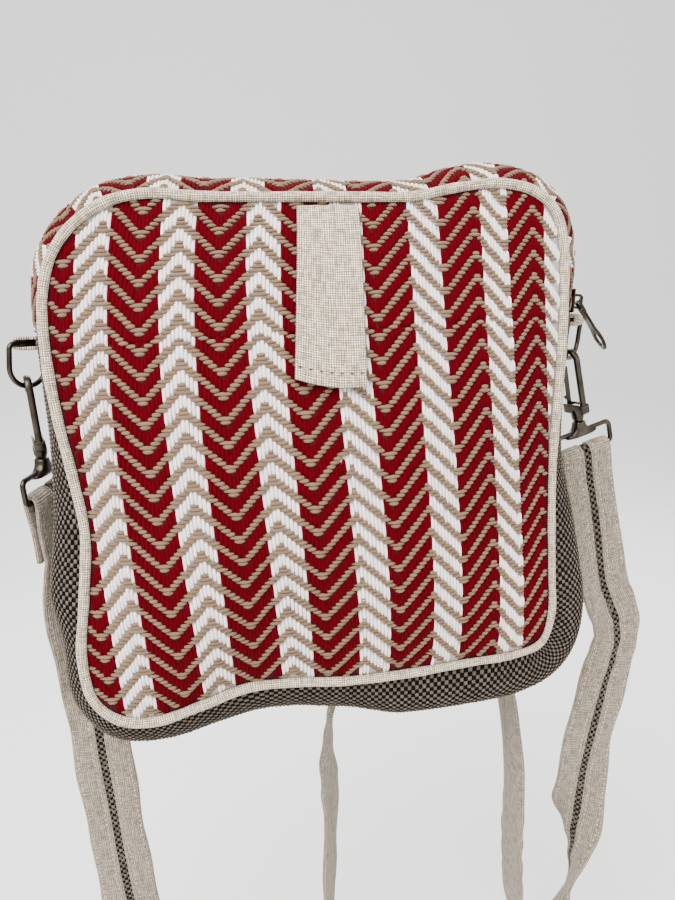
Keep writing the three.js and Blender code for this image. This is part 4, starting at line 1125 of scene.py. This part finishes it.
def piping():
    """Linen cord round both panel edges: a round section carried along the seam, slightly uneven."""
    t = np.linspace(0, 1, 500, endpoint=False)
    along = run_along(seam_at(t))
    uneven = 1 + 0.05 * np.sin(along / 9) * np.sin(along / 23 + 1) + 0.03 * np.sin(along / 3.1)
    uneven = uneven - 0.26 * np.exp(-(((t - 0.36) / 0.09) ** 2))
    ring = circle(seam_out(t), BACKWARD, 14) * (PIPING_RADIUS * uneven)[:, None, None]
    planes = (("front", FRONT_Y, 0, 0), ("back", BACK_Y, BACK_SHIFT, BACK_DROP))
    for name, plane, shift, drop in planes:
        centre = seam_at(t) + np.array([shift, plane, -drop])
        cord = sweep(centre[:, None] + ring, closed=True)
        piece(f"{name}_piping_cord", [cord], looks()["linen"], stands_for=[f"{name}_piping"])


def zip_fastener():
    """Zip along the top: woven tape under the gusset edges, interlocked teeth, slider and pull."""
    look = looks()
    t, v = np.moveaxis(grid(np.linspace(*UPPER_ENDS, 200), np.linspace(0.35, 0.65, 8)), -1, 0)
    tape = gusset_sheet(t, v, 2.15, 3.1, np.stack([t * SEAM_MM, v * ACROSS_MM], -1))
    line_t = np.linspace(*UPPER_ENDS, 400)
    run = run_along(gusset(line_t, 0.5))
    teeth_t = np.interp(np.arange(1.0, run[-1] - 1, 1.3), run, line_t)
    left = np.arange(len(teeth_t)) % 2 == 0
    starts = 0.5 - 0.038 * left - 0.012 * ~left
    stops = 0.5 + 0.012 * left + 0.038 * ~left
    rng = np.random.default_rng(RANDOM_SEED)
    tooth = (0.55, 0.8, -0.2, 0.0)
    teeth = yarns(gusset, gusset_normal, teeth_t, starts, stops, False, tooth, 4, rng)
    piece("zip_tape_cloth", [tape], look["tape"], stands_for=["zip_tape"])
    piece("zip_teeth", [teeth], look["bronze"])
    softened("zip_slider_body", "zip_slider", look["bronze"], "bag", 0.35)
    softened("zip_pull_tag", "zip_pull", look["bronze"], "pull", 0.45)


# Tab and ring loops

def tab_face(s, w):
    """Tab's outer face: corners mixed by s and w, on the front panel with a lift that grows down."""
    top, low = np.array(TAB_TOP, float), np.array(TAB_LOW, float)
    left = top[0] + (low[0] - top[0]) * w[..., None]
    right = top[1] + (low[1] - top[1]) * w[..., None]
    flat = left + (right - left) * s[..., None]
    x, z = flat[..., 0], flat[..., 1] - 1.6 * w * np.sin(np.pi * s)
    ridge = 0.85 * np.exp(-(((s - 0.55 - 0.03 * np.sin(4 * w)) / 0.05) ** 2)) * (1 - 0.5 * w)
    lift = 0.7 + 1.6 * w * w + TAB_THICK
    ripple = 0.3 * np.sin(5 * w + 3 * s) * w + 0.14 * np.sin(26 * s + 2 * np.sin(6 * w))
    return front_point(x, z) - np.stack([0 * x, lift + ridge + ripple, 0 * x], -1)


def front_tab():
    """Linen tab: a doubled sheet with a ridge down its middle and a sewn hem at its foot."""
    look = looks()
    w, s = np.moveaxis(grid(np.linspace(0, 1, 60), np.linspace(0, 1, 26)), -1, 0)
    face = tab_face(s, w)
    puff = 0.3 * np.sqrt(np.clip(4 * s * (1 - s), 0, 1)) * np.clip(12 * (1 - w), 0, 1) ** 0.5
    hem = 0.45 * np.exp(-(((w - TAB_HEM) / 0.008) ** 2))
    outer = face + BACKWARD * (0.3 - puff + hem)[..., None]
    sheet = slab(outer, face + BACKWARD * TAB_THICK, np.stack([s * 28, w * 76], -1))
    tab = piece("front_tab_cloth", [sheet], look["linen"], stands_for=["front_tab"])
    across = np.linspace(0.03, 0.97, TAB_STITCHES)
    points = tab_face(across, np.full(TAB_STITCHES, TAB_HEM)) + BACKWARD * 0.25
    row = stitches(points, np.tile(-BACKWARD, (TAB_STITCHES, 1)), 0.35, 0.28)
    sewn = piece("front_tab_stitches", [row], look["dark_thread"])


def about_z(degrees):
    """Level direction at an angle from X."""
    return np.array([np.cos(np.radians(degrees)), np.sin(np.radians(degrees)), 0.0])


def square_to(vector, axis):
    """A direction made square to an axis."""
    return unit(vector - axis * np.dot(vector, axis))


def ring_frame(side):
    """A ring's bar, its direction, and the way the ring hangs."""
    bar_way = about_z(90 + side["ring_turn"])
    lean = np.radians(side["ring_lean"])
    hang = square_to(np.array([np.sin(lean), HANG_BACK, -np.cos(lean)]), bar_way)
    return np.array(side["bar"], float), bar_way, hang


def hook_frame(side):
    """A hook's top in its ring, the way down it, towards its stem, and across."""
    bar_at, _, hang = ring_frame(side)
    top = bar_at + hang * RING_TALL
    down = unit(np.array(side["eye_at"], float) - top)
    to_stem = square_to(about_z(side["claw_turn"]), down)
    return top, down, to_stem, np.cross(down, to_stem)


def eye_frame(side):
    """A hook's swivel base, its eye's bar and the bar's direction."""
    top, down, _, _ = hook_frame(side)
    bar_way = square_to(about_z(side["eye_turn"]), down)
    base_at = top + down * (BARREL_TOP + BARREL_LONG + GAP)
    return base_at, base_at + down * (BASE_LONG + EYE_DROP), bar_way, down


def ring_loops():
    """Linen loops round the rings' bars: a band folded over the bar, its legs to the gusset."""
    inside, outside = RING_WIRE + GAP, RING_WIRE + GAP + LOOP_THICK
    width = np.linspace(-0.5, 0.5, 12)
    angle = np.radians(np.linspace(90, 270, 20))
    leg = np.linspace(1, 0, 8)[:-1]
    crown = 0.35 * np.abs(2 * width) ** 4
    for name, side in SIDES.items():
        bar_at, bar_way, _ = ring_frame(side)
        reach = unit(np.cross(bar_way, UPWARD))
        reach = reach if reach[0] * side["out"] < 0 else -reach
        foot = bar_at + bar_way * (width * LOOP_WIDE)[:, None]
        share = (foot[:, 1] - FRONT_Y - MARGIN) / GUSSET_DEEP
        place = np.array([seam_place(z, side["out"]) for z in foot[:, 2] + BACK_DROP * share])
        end_x = gusset(place, share)[:, 0] + side["out"] * 0.1
        span = np.array([1.0, 0, 0]) * (end_x - foot[:, 0])[:, None]
        legs = foot + span * leg[:, None, None]
        turn = reach * np.cos(angle)[:, None] + UPWARD * np.sin(angle)[:, None]
        faces = []
        for radii in (outside - crown, inside + 0 * crown):
            rise = UPWARD * radii[:, None]
            bend = foot + turn[:, None] * radii[:, None]
            faces.append(np.concatenate([legs + rise, bend, legs[::-1] - rise]))
        band = slab(*faces, grid(run_along(faces[0][:, 0]), width * LOOP_WIDE))
        piece(f"ring_loop_{name}_cloth", [band], looks()["linen"], stands_for=[f"ring_loop_{name}"])


# Rings and hooks

def wire(points, radius):
    """Closed round wire along points: each ring square to the path, in the plane of the path."""
    path = unit(np.roll(points, -1, 0) - np.roll(points, 1, 0))
    flat = unit(np.sum(np.cross(points[1:-1] - points[0], points[2:] - points[0]), 0))
    a = unit(flat - path * (path @ flat)[:, None])
    ring = circle(a, np.cross(path, a), 14)
    return sweep(points[:, None] + ring * radius, closed=True)


def lathe(start, axis, rows):
    """Round solid about an axis: rows of distance along it and radius."""
    rows = np.asarray(rows, float)
    a = square_to(UPWARD if abs(axis[2]) < 0.9 else np.array([1.0, 0, 0]), axis)
    ring = circle(a, np.cross(axis, a), 28)
    return sweep(start + axis * rows[:, None, :1] + ring * rows[:, None, 1:])


def rounded_section(half_wide, half_deep, power, around=20):
    """A rounded rectangle: cosine and sine drawn towards its corners by a power."""
    c, s = np.cos(turns(around)), np.sin(turns(around))
    wide = np.sign(c) * np.abs(c) ** power * half_wide
    return np.stack([wide, np.sign(s) * np.abs(s) ** power * half_deep], 1)


def bar_shell(start, stop, wide_way, wide, deep):
    """A straight bar with rounded edges and eased ends between two points."""
    along = unit(stop - start)
    a = square_to(wide_way, along)
    section = rounded_section(wide / 2, deep / 2, 0.35)
    shares = np.array([0, 0.02, 0.06, 0.5, 0.94, 0.98, 1.0])
    scale = np.array([0.8, 0.95, 1, 1, 1, 0.95, 0.8])
    centre = start + (stop - start) * shares[:, None]
    spread = a * section[:, :1] + np.cross(along, a) * section[:, 1:]
    return sweep(centre[:, None] + spread * scale[:, None, None])


def rings_and_hooks():
    """D-rings of wire and swivel snap hooks: claw, cheeks, barrel, gate, bell-shaped base, wire eye."""
    nickel = looks()["nickel"]
    for name, side in SIDES.items():
        d_ring(name, side, nickel)
        hook_body(name, side, nickel)
        softened(f"hook_gate_{name}_lever", f"hook_gate_{name}", nickel, f"gate_{name}",
                 0.4)
        hook_eye(name, side, nickel)


def d_ring(name, side, nickel):
    """Wire bent to a D: a straight bar, two tight corners and a half circle."""
    bar_at, bar_way, hang = ring_frame(side)
    half, near = RING_WIDE / 2, RING_WIDE / 2 - RING_BEND
    corner = np.radians(np.linspace(-90, 0, 7))
    arc = np.radians(np.linspace(0, 180, 40))
    right = np.stack([near + RING_BEND * np.cos(corner), RING_BEND + RING_BEND * np.sin(corner)], 1)
    bow = np.stack([half * np.cos(arc), RING_TALL - half + half * np.sin(arc)], 1)
    straight = np.stack([np.linspace(-near, near, 8)[1:-1], np.zeros(6)], 1)
    flat = np.concatenate([straight, right, bow, right[::-1] * [-1, 1]])
    points = bar_at + flat[:, :1] * bar_way + flat[:, 1:] * hang
    piece(f"d_ring_{name}_wire", [wire(points, RING_WIRE)], nickel,
          stands_for=[f"d_ring_{name}"])


def hook_body(name, side, nickel):
    """Claw of rounded section over the ring, its stem, two cheeks beside the gate, and the barrel."""
    top, down, to_stem, depth = hook_frame(side)
    middle = THROAT + STEM_WIDE / 2
    crown = middle - RING_WIRE - STEM_WIDE / 2 - 1.4
    turn = np.radians(np.linspace(0, 180, 28))
    bow = np.stack([middle * np.cos(turn), crown - middle * np.sin(turn)], 1)
    stem = np.stack([np.full(12, middle), np.linspace(BARREL_TOP + 2, crown, 13)[:-1]], 1)
    tip = np.stack([np.full(4, -middle + 0.1), crown + np.array([0.8, 1.6, 2.4, 3.0])], 1)
    flat = np.concatenate([stem, bow, tip])
    points = top + flat[:, :1] * to_stem + flat[:, 1:] * down
    path = unit(np.gradient(points, axis=0))
    section = rounded_section(STEM_WIDE / 2, STEM_DEEP / 2, 0.6)
    scale = np.ones(len(points))
    scale[-3:] = (0.97, 0.88, 0.7)
    spread = np.cross(path, depth)[:, None] * section[:, :1] + depth * section[:, 1:]
    parts = [sweep(points[:, None] + spread * scale[:, None, None])]
    level = top + down * (BARREL_TOP + 1.8)
    reach = to_stem * (middle + 1.4)
    for way in (-1, 1):
        centre = level + depth * way * (GATE_HALF + 0.5)
        parts.append(bar_shell(centre + reach, centre - reach, down, 5, 1.0))
    block = top + down * (BARREL_TOP + 1.8 + 0.2)
    far = block + to_stem * (middle + 1.5)
    parts.append(bar_shell(far, block - to_stem * 1.9, down, 4.4, STEM_DEEP + 1.9))
    parts.append(lathe(top + down * (BARREL_TOP + 1.6), down, BARREL_ROWS))
    piece(f"hook_body_{name}_casting", parts, nickel, f"hook_{name}",
          [f"hook_body_{name}"])


def hook_eye(name, side, nickel):
    """Bell-shaped base flaring to a flat foot, and the wire eye that carries the strap."""
    base_at, bar_at, bar_way, down = eye_frame(side)
    deep_way = np.cross(down, bar_way)
    section = rounded_section(1, 1, 0.75, 32)
    along, wide, deep = (BASE_ROWS[:, None, k:k + 1] for k in range(3))
    rings = (base_at + down * along + bar_way * (section[:, :1] * wide)
             + deep_way * (section[:, 1:] * deep))
    high = -EYE_DROP - 1.9
    quarter = np.radians(np.linspace(0, 90, 7))
    c, s = EYE_BEND * np.cos(quarter), EYE_BEND * np.sin(quarter)
    near = EYE_HALF - EYE_BEND
    upper = np.stack([near + s, high + EYE_BEND - c], 1)
    lower = np.stack([near + c, -EYE_BEND + s], 1)
    right = np.concatenate([upper, lower])
    straight = np.stack([np.linspace(near, -near, 8)[1:-1], np.zeros(6)], 1)
    top_run = np.stack([np.linspace(-near, near, 8)[1:-1], np.full(6, high)], 1)
    flat = np.concatenate([top_run, right, straight, right[::-1] * [-1, 1]])
    points = bar_at + flat[:, :1] * bar_way + flat[:, 1:] * down
    piece(f"hook_eye_{name}_casting", [sweep(rings), wire(points, EYE_WIRE)], nickel,
          stands_for=[f"hook_eye_{name}"])


# Strap

def fold_rows(side, starts_here):
    """Strap rows round one eye's bar: down its hidden end, over the bar and away."""
    _, bar_at, bar_way, down = eye_frame(side)
    away = unit(np.cross(down if starts_here else -down, bar_way))
    ring = EYE_WIRE + GAP + STRAP_THICK / 2
    near = STRAP_THICK / 2 + 0.35
    turn = np.radians(np.linspace(180, 0, 9))
    over = np.stack([ring * np.cos(turn), -ring * np.sin(turn)], 1)
    legs = np.array([(near, FOLD_LONG), (near, FOLD_LONG / 2), (ring * 0.86, 5.5)])
    flat = np.concatenate([legs * [-1, 1], over, legs[::-1]])
    rows = bar_at + flat[:, :1] * away + flat[:, 1:] * down
    ways = np.tile(bar_way, (len(rows), 1))
    return (rows, ways) if starts_here else (rows[::-1], ways[::-1])


def strap_line(count):
    """The strap's centre line, width and face directions, and length so far, at even steps."""
    left_rows, left_ways = fold_rows(SIDES["left"], True)
    right_rows, right_ways = fold_rows(SIDES["right"], False)
    turn = np.radians(STRAP_ROUTE[:, 3])
    route_ways = np.stack([np.cos(turn), np.sin(turn), 0 * turn], 1)
    rows = np.concatenate([left_rows, STRAP_ROUTE[:, :3], right_rows])
    ways = np.concatenate([left_ways, route_ways, right_ways])
    fine = np.linspace(0, 1, 6000)
    run = run_along(spline(rows, fine, False))
    steps = np.interp(np.linspace(0, run[-1], count), run, fine)
    place = steps * (len(rows) - 1)
    whole = np.minimum(place.astype(int), len(rows) - 2)
    way = ways[whole] + (ways[whole + 1] - ways[whole]) * (place - whole)[:, None]
    before, after = np.maximum(steps - 1e-4, 0), np.minimum(steps + 1e-4, 1)
    path = unit(spline(rows, after, False) - spline(rows, before, False))
    way = unit(way - path * np.sum(way * path, 1, keepdims=True))
    centre = spline(rows, steps, False)
    return centre, way, np.cross(path, way), np.linspace(0, run[-1], count)


def strap():
    """Linen strap: its section carried along the whole loop, a check strip let in, rows of stitches.

    Ripples are sines of the length and the width, and fade towards the eyes.
    """
    look = looks()
    centre, way, face, run = strap_line(800)
    section = np.concatenate([STRAP_SECTION, STRAP_SECTION[::-1][1:-1] * [-1, 1]])
    w, n = section[:, 0], section[:, 1]

    def free(at):
        grown, left = (at - STRAP_FLAT) / STRAP_EASE, (run[-1] - STRAP_FLAT - at) / STRAP_EASE
        return np.clip(grown, 0, 1) * np.clip(left, 0, 1)

    def wrinkle(at, across):
        cup = 1.5 * np.sin(at / 61.0) + 0.9 * np.sin(at / 19.0 + 1)
        sway = 1.0 * np.sin(at / 17.0 + 2 * np.sin(at / 90))
        crease = np.sin(at / 2.7 + across / 3.4 + 3 * np.sin(at / 37))
        crease = crease * np.clip(np.sin(at / 23 + 1), 0, 1)
        bowed = cup * (across / STRAP_HALF) ** 2
        return free(at) * (bowed + sway * np.sin(across / 4.5 + at / 40) + 0.45 * crease)

    def at_length(at):
        found = (np.stack([np.interp(at, run, line[:, k]) for k in range(3)], -1)
                 for line in (centre, way, face))
        spot, ways, outs = found
        return spot, unit(ways), unit(outs)

    def on_strip(u, v):
        at = np.clip(u, 0, 1) * run[-1]
        across = (v - 0.5) * STRIP_WIDE
        spot, ways, outs = at_length(at)
        return spot + ways * across[..., None] + outs * (0.85 + wrinkle(at, across))[..., None]

    def strip_normal(u, v):
        return at_length(np.clip(u, 0, 1) * run[-1])[2]

    at = run[:, None]
    edge = np.sin(at / 9 + np.sign(w) * 1.3) * np.sin(at / 33 + np.sign(w))
    narrow = 1 - (0.03 + 0.05 * edge * (np.abs(w) / STRAP_HALF) ** 2) * free(at)
    rings = centre[:, None] + way[:, None] * (w * narrow)[..., None]
    rings = rings + face[:, None] * (n + wrinkle(at, w))[..., None]
    uv = grid(run, run_along(np.concatenate([section, section[:1]])))
    band = piece("strap_cloth", [sweep(rings, uv)], look["webbing"], stands_for=["strap_band"])
    rng = np.random.default_rng(RANDOM_SEED)
    cells = dots(on_strip, strip_normal, int(run[-1] / STRIP_PITCH), 3, 0.7, 0.1, rng)
    strip = piece("strap_check_strip", [cells], look["check"],
                  stands_for=["strap_stripe"])
    at = np.arange(STITCH_START, run[-1] - STITCH_START, STITCH_PITCH)
    at = at[: len(at) // 2 * 2]
    spot, ways, outs = at_length(at)
    sewn = []
    for across in STITCH_ROWS:
        rise = 1.15 + wrinkle(at, across)
        sewn.append(stitches(spot + ways * across + outs * rise[:, None], outs, 0.2, 0.2))
    thread = piece("strap_stitches", sewn, look["thread"])


# Stage

def stage():
    """Pale floor that curves up to a backdrop, soft area lights, and the photo's camera."""
    scene = bpy.context.scene
    settings = scene.bag_stage
    # Even pale grey that takes soft shadows
    board, shader = new_material("pale painted board", 0.9)
    shader.inputs["Base Color"].default_value = tuple(settings.floor)
    bend = np.radians(np.linspace(0, 90, 24))
    curve = np.stack([np.sin(bend) - 1, 1 - np.cos(bend)], 1) * BACKDROP_BEND + [BACKDROP_Y, 0]
    profile = np.concatenate([[(FLOOR_NEAR, 0.0)], curve, [(BACKDROP_Y, BACKDROP_TOP)]])
    points = [(x, y, FLOOR_Z + z) for y, z in profile for x in (-FLOOR_HALF, FLOOR_HALF)]
    faces = [(2 * i, 2 * i + 1, 2 * i + 3, 2 * i + 2) for i in range(len(profile) - 1)]
    mesh = bpy.data.meshes.new("floor")
    mesh.from_pydata(points, [], faces)
    floor = shown("floor", mesh, board)
    for name, at, size, share in LIGHTS:
        light = bpy.data.lights.new(name, "AREA")
        light.energy = settings.key * share
        light.size = size
        lamp = bpy.data.objects.new(name, light)
        lamp.location = at
        back = unit(np.array(at) - LIGHT_AIM)
        right = unit(np.cross(UPWARD, back))
        axes = np.stack([right, np.cross(back, right), back], 1)
        lamp.rotation_euler = Matrix(axes.tolist()).to_euler()
        scene.collection.objects.link(lamp)
    scene.world = bpy.data.worlds.new("studio")
    scene.world.use_nodes = True
    sky = scene.world.node_tree.nodes["Background"].inputs
    sky["Color"].default_value = tuple(settings.sky)
    sky["Strength"].default_value = SKY_STRENGTH
    camera = bpy.data.cameras.new("camera")
    camera.sensor_fit = "VERTICAL"
    camera.sensor_height = SENSOR_TALL
    camera.lens = settings.lens
    camera.clip_start = 0.01
    viewer = bpy.data.objects.new("camera", camera)
    turn = Matrix(np.stack([CAMERA_RIGHT, CAMERA_UP, CAMERA_BACK], 1).tolist())
    viewer.matrix_world = Matrix.Translation(CAMERA_AT) @ turn.to_4x4()
    scene.collection.objects.link(viewer)
    scene.camera = viewer


# Operators

class BAG_OT_stage(bpy.types.Operator):
    """Lay the floor, set the lights and the camera"""

    bl_idname = "bag.stage"
    bl_label = "Stage"

    def execute(self, context):
        stage()
        return {"FINISHED"}


class BAG_OT_hooks(bpy.types.Operator):
    """Make the rings and snap hooks"""

    bl_idname = "bag.hooks"
    bl_label = "Rings and hooks"

    def execute(self, context):
        rings_and_hooks()
        return {"FINISHED"}


class BAG_OT_front_cloth(bpy.types.Operator):
    """Weave the chevron front"""

    bl_idname = "bag.front_cloth"
    bl_label = "Front cloth"

    def execute(self, context):
        front_cloth()
        return {"FINISHED"}


class BAG_OT_upper_gusset(bpy.types.Operator):
    """Weave the upper gusset on both sides of the zip"""

    bl_idname = "bag.upper_gusset"
    bl_label = "Upper gusset"

    def execute(self, context):
        upper_gusset()
        return {"FINISHED"}


class BAG_OT_check_cloth(bpy.types.Operator):
    """Weave the check hemp of the lower gusset and the back"""

    bl_idname = "bag.check_cloth"
    bl_label = "Check hemp"

    def execute(self, context):
        check_cloth()
        return {"FINISHED"}


class BAG_OT_piping(bpy.types.Operator):
    """Lay the linen piping round both panels"""

    bl_idname = "bag.piping"
    bl_label = "Piping"

    def execute(self, context):
        piping()
        return {"FINISHED"}


class BAG_OT_zip(bpy.types.Operator):
    """Make the zip's tape, teeth, slider and pull"""

    bl_idname = "bag.zip"
    bl_label = "Zip"

    def execute(self, context):
        zip_fastener()
        return {"FINISHED"}


class BAG_OT_tab(bpy.types.Operator):
    """Make the linen tab and its hem stitches"""

    bl_idname = "bag.tab"
    bl_label = "Front tab"

    def execute(self, context):
        front_tab()
        return {"FINISHED"}


class BAG_OT_ring_loops(bpy.types.Operator):
    """Fold the linen loops that hold the rings"""

    bl_idname = "bag.ring_loops"
    bl_label = "Ring loops"

    def execute(self, context):
        ring_loops()
        return {"FINISHED"}


class BAG_OT_strap(bpy.types.Operator):
    """Make the linen strap with its check strip and stitches"""

    bl_idname = "bag.strap"
    bl_label = "Strap"

    def execute(self, context):
        strap()
        return {"FINISHED"}


STEPS = (
    BAG_OT_stage, BAG_OT_hooks, BAG_OT_front_cloth, BAG_OT_upper_gusset, BAG_OT_check_cloth,
    BAG_OT_piping, BAG_OT_zip, BAG_OT_tab, BAG_OT_ring_loops, BAG_OT_strap,
)


class BAG_PT_panel(bpy.types.Panel):
    """Settings and steps of the bag"""

    bl_idname = "BAG_PT_panel"
    bl_label = "Hemp shoulder bag"
    bl_space_type = "VIEW_3D"
    bl_region_type = "UI"
    bl_category = "Bag"

    def draw(self, context):
        for group in (context.scene.bag_cloth, context.scene.bag_metal, context.scene.bag_stage):
            for key in group.__annotations__:
                self.layout.prop(group, key)
        for step in STEPS:
            self.layout.operator(step.bl_idname)


CLASSES = (BagCloth, BagMetal, BagStage, *STEPS, BAG_PT_panel)


def register():
    """Registers the classes and the scene's settings."""
    for each in CLASSES:
        bpy.utils.register_class(each)
    bpy.types.Scene.bag_cloth = PointerProperty(type=BagCloth)
    bpy.types.Scene.bag_metal = PointerProperty(type=BagMetal)
    bpy.types.Scene.bag_stage = PointerProperty(type=BagStage)


def unregister():
    """Takes the settings and classes away again."""
    del bpy.types.Scene.bag_cloth, bpy.types.Scene.bag_metal, bpy.types.Scene.bag_stage
    for each in reversed(CLASSES):
        bpy.utils.unregister_class(each)


def main():
    """Makes the bag step by step."""
    register()
    for step in STEPS:
        group, name = step.bl_idname.split(".")
        getattr(getattr(bpy.ops, group), name)()


if __name__ == "__main__":
    main()
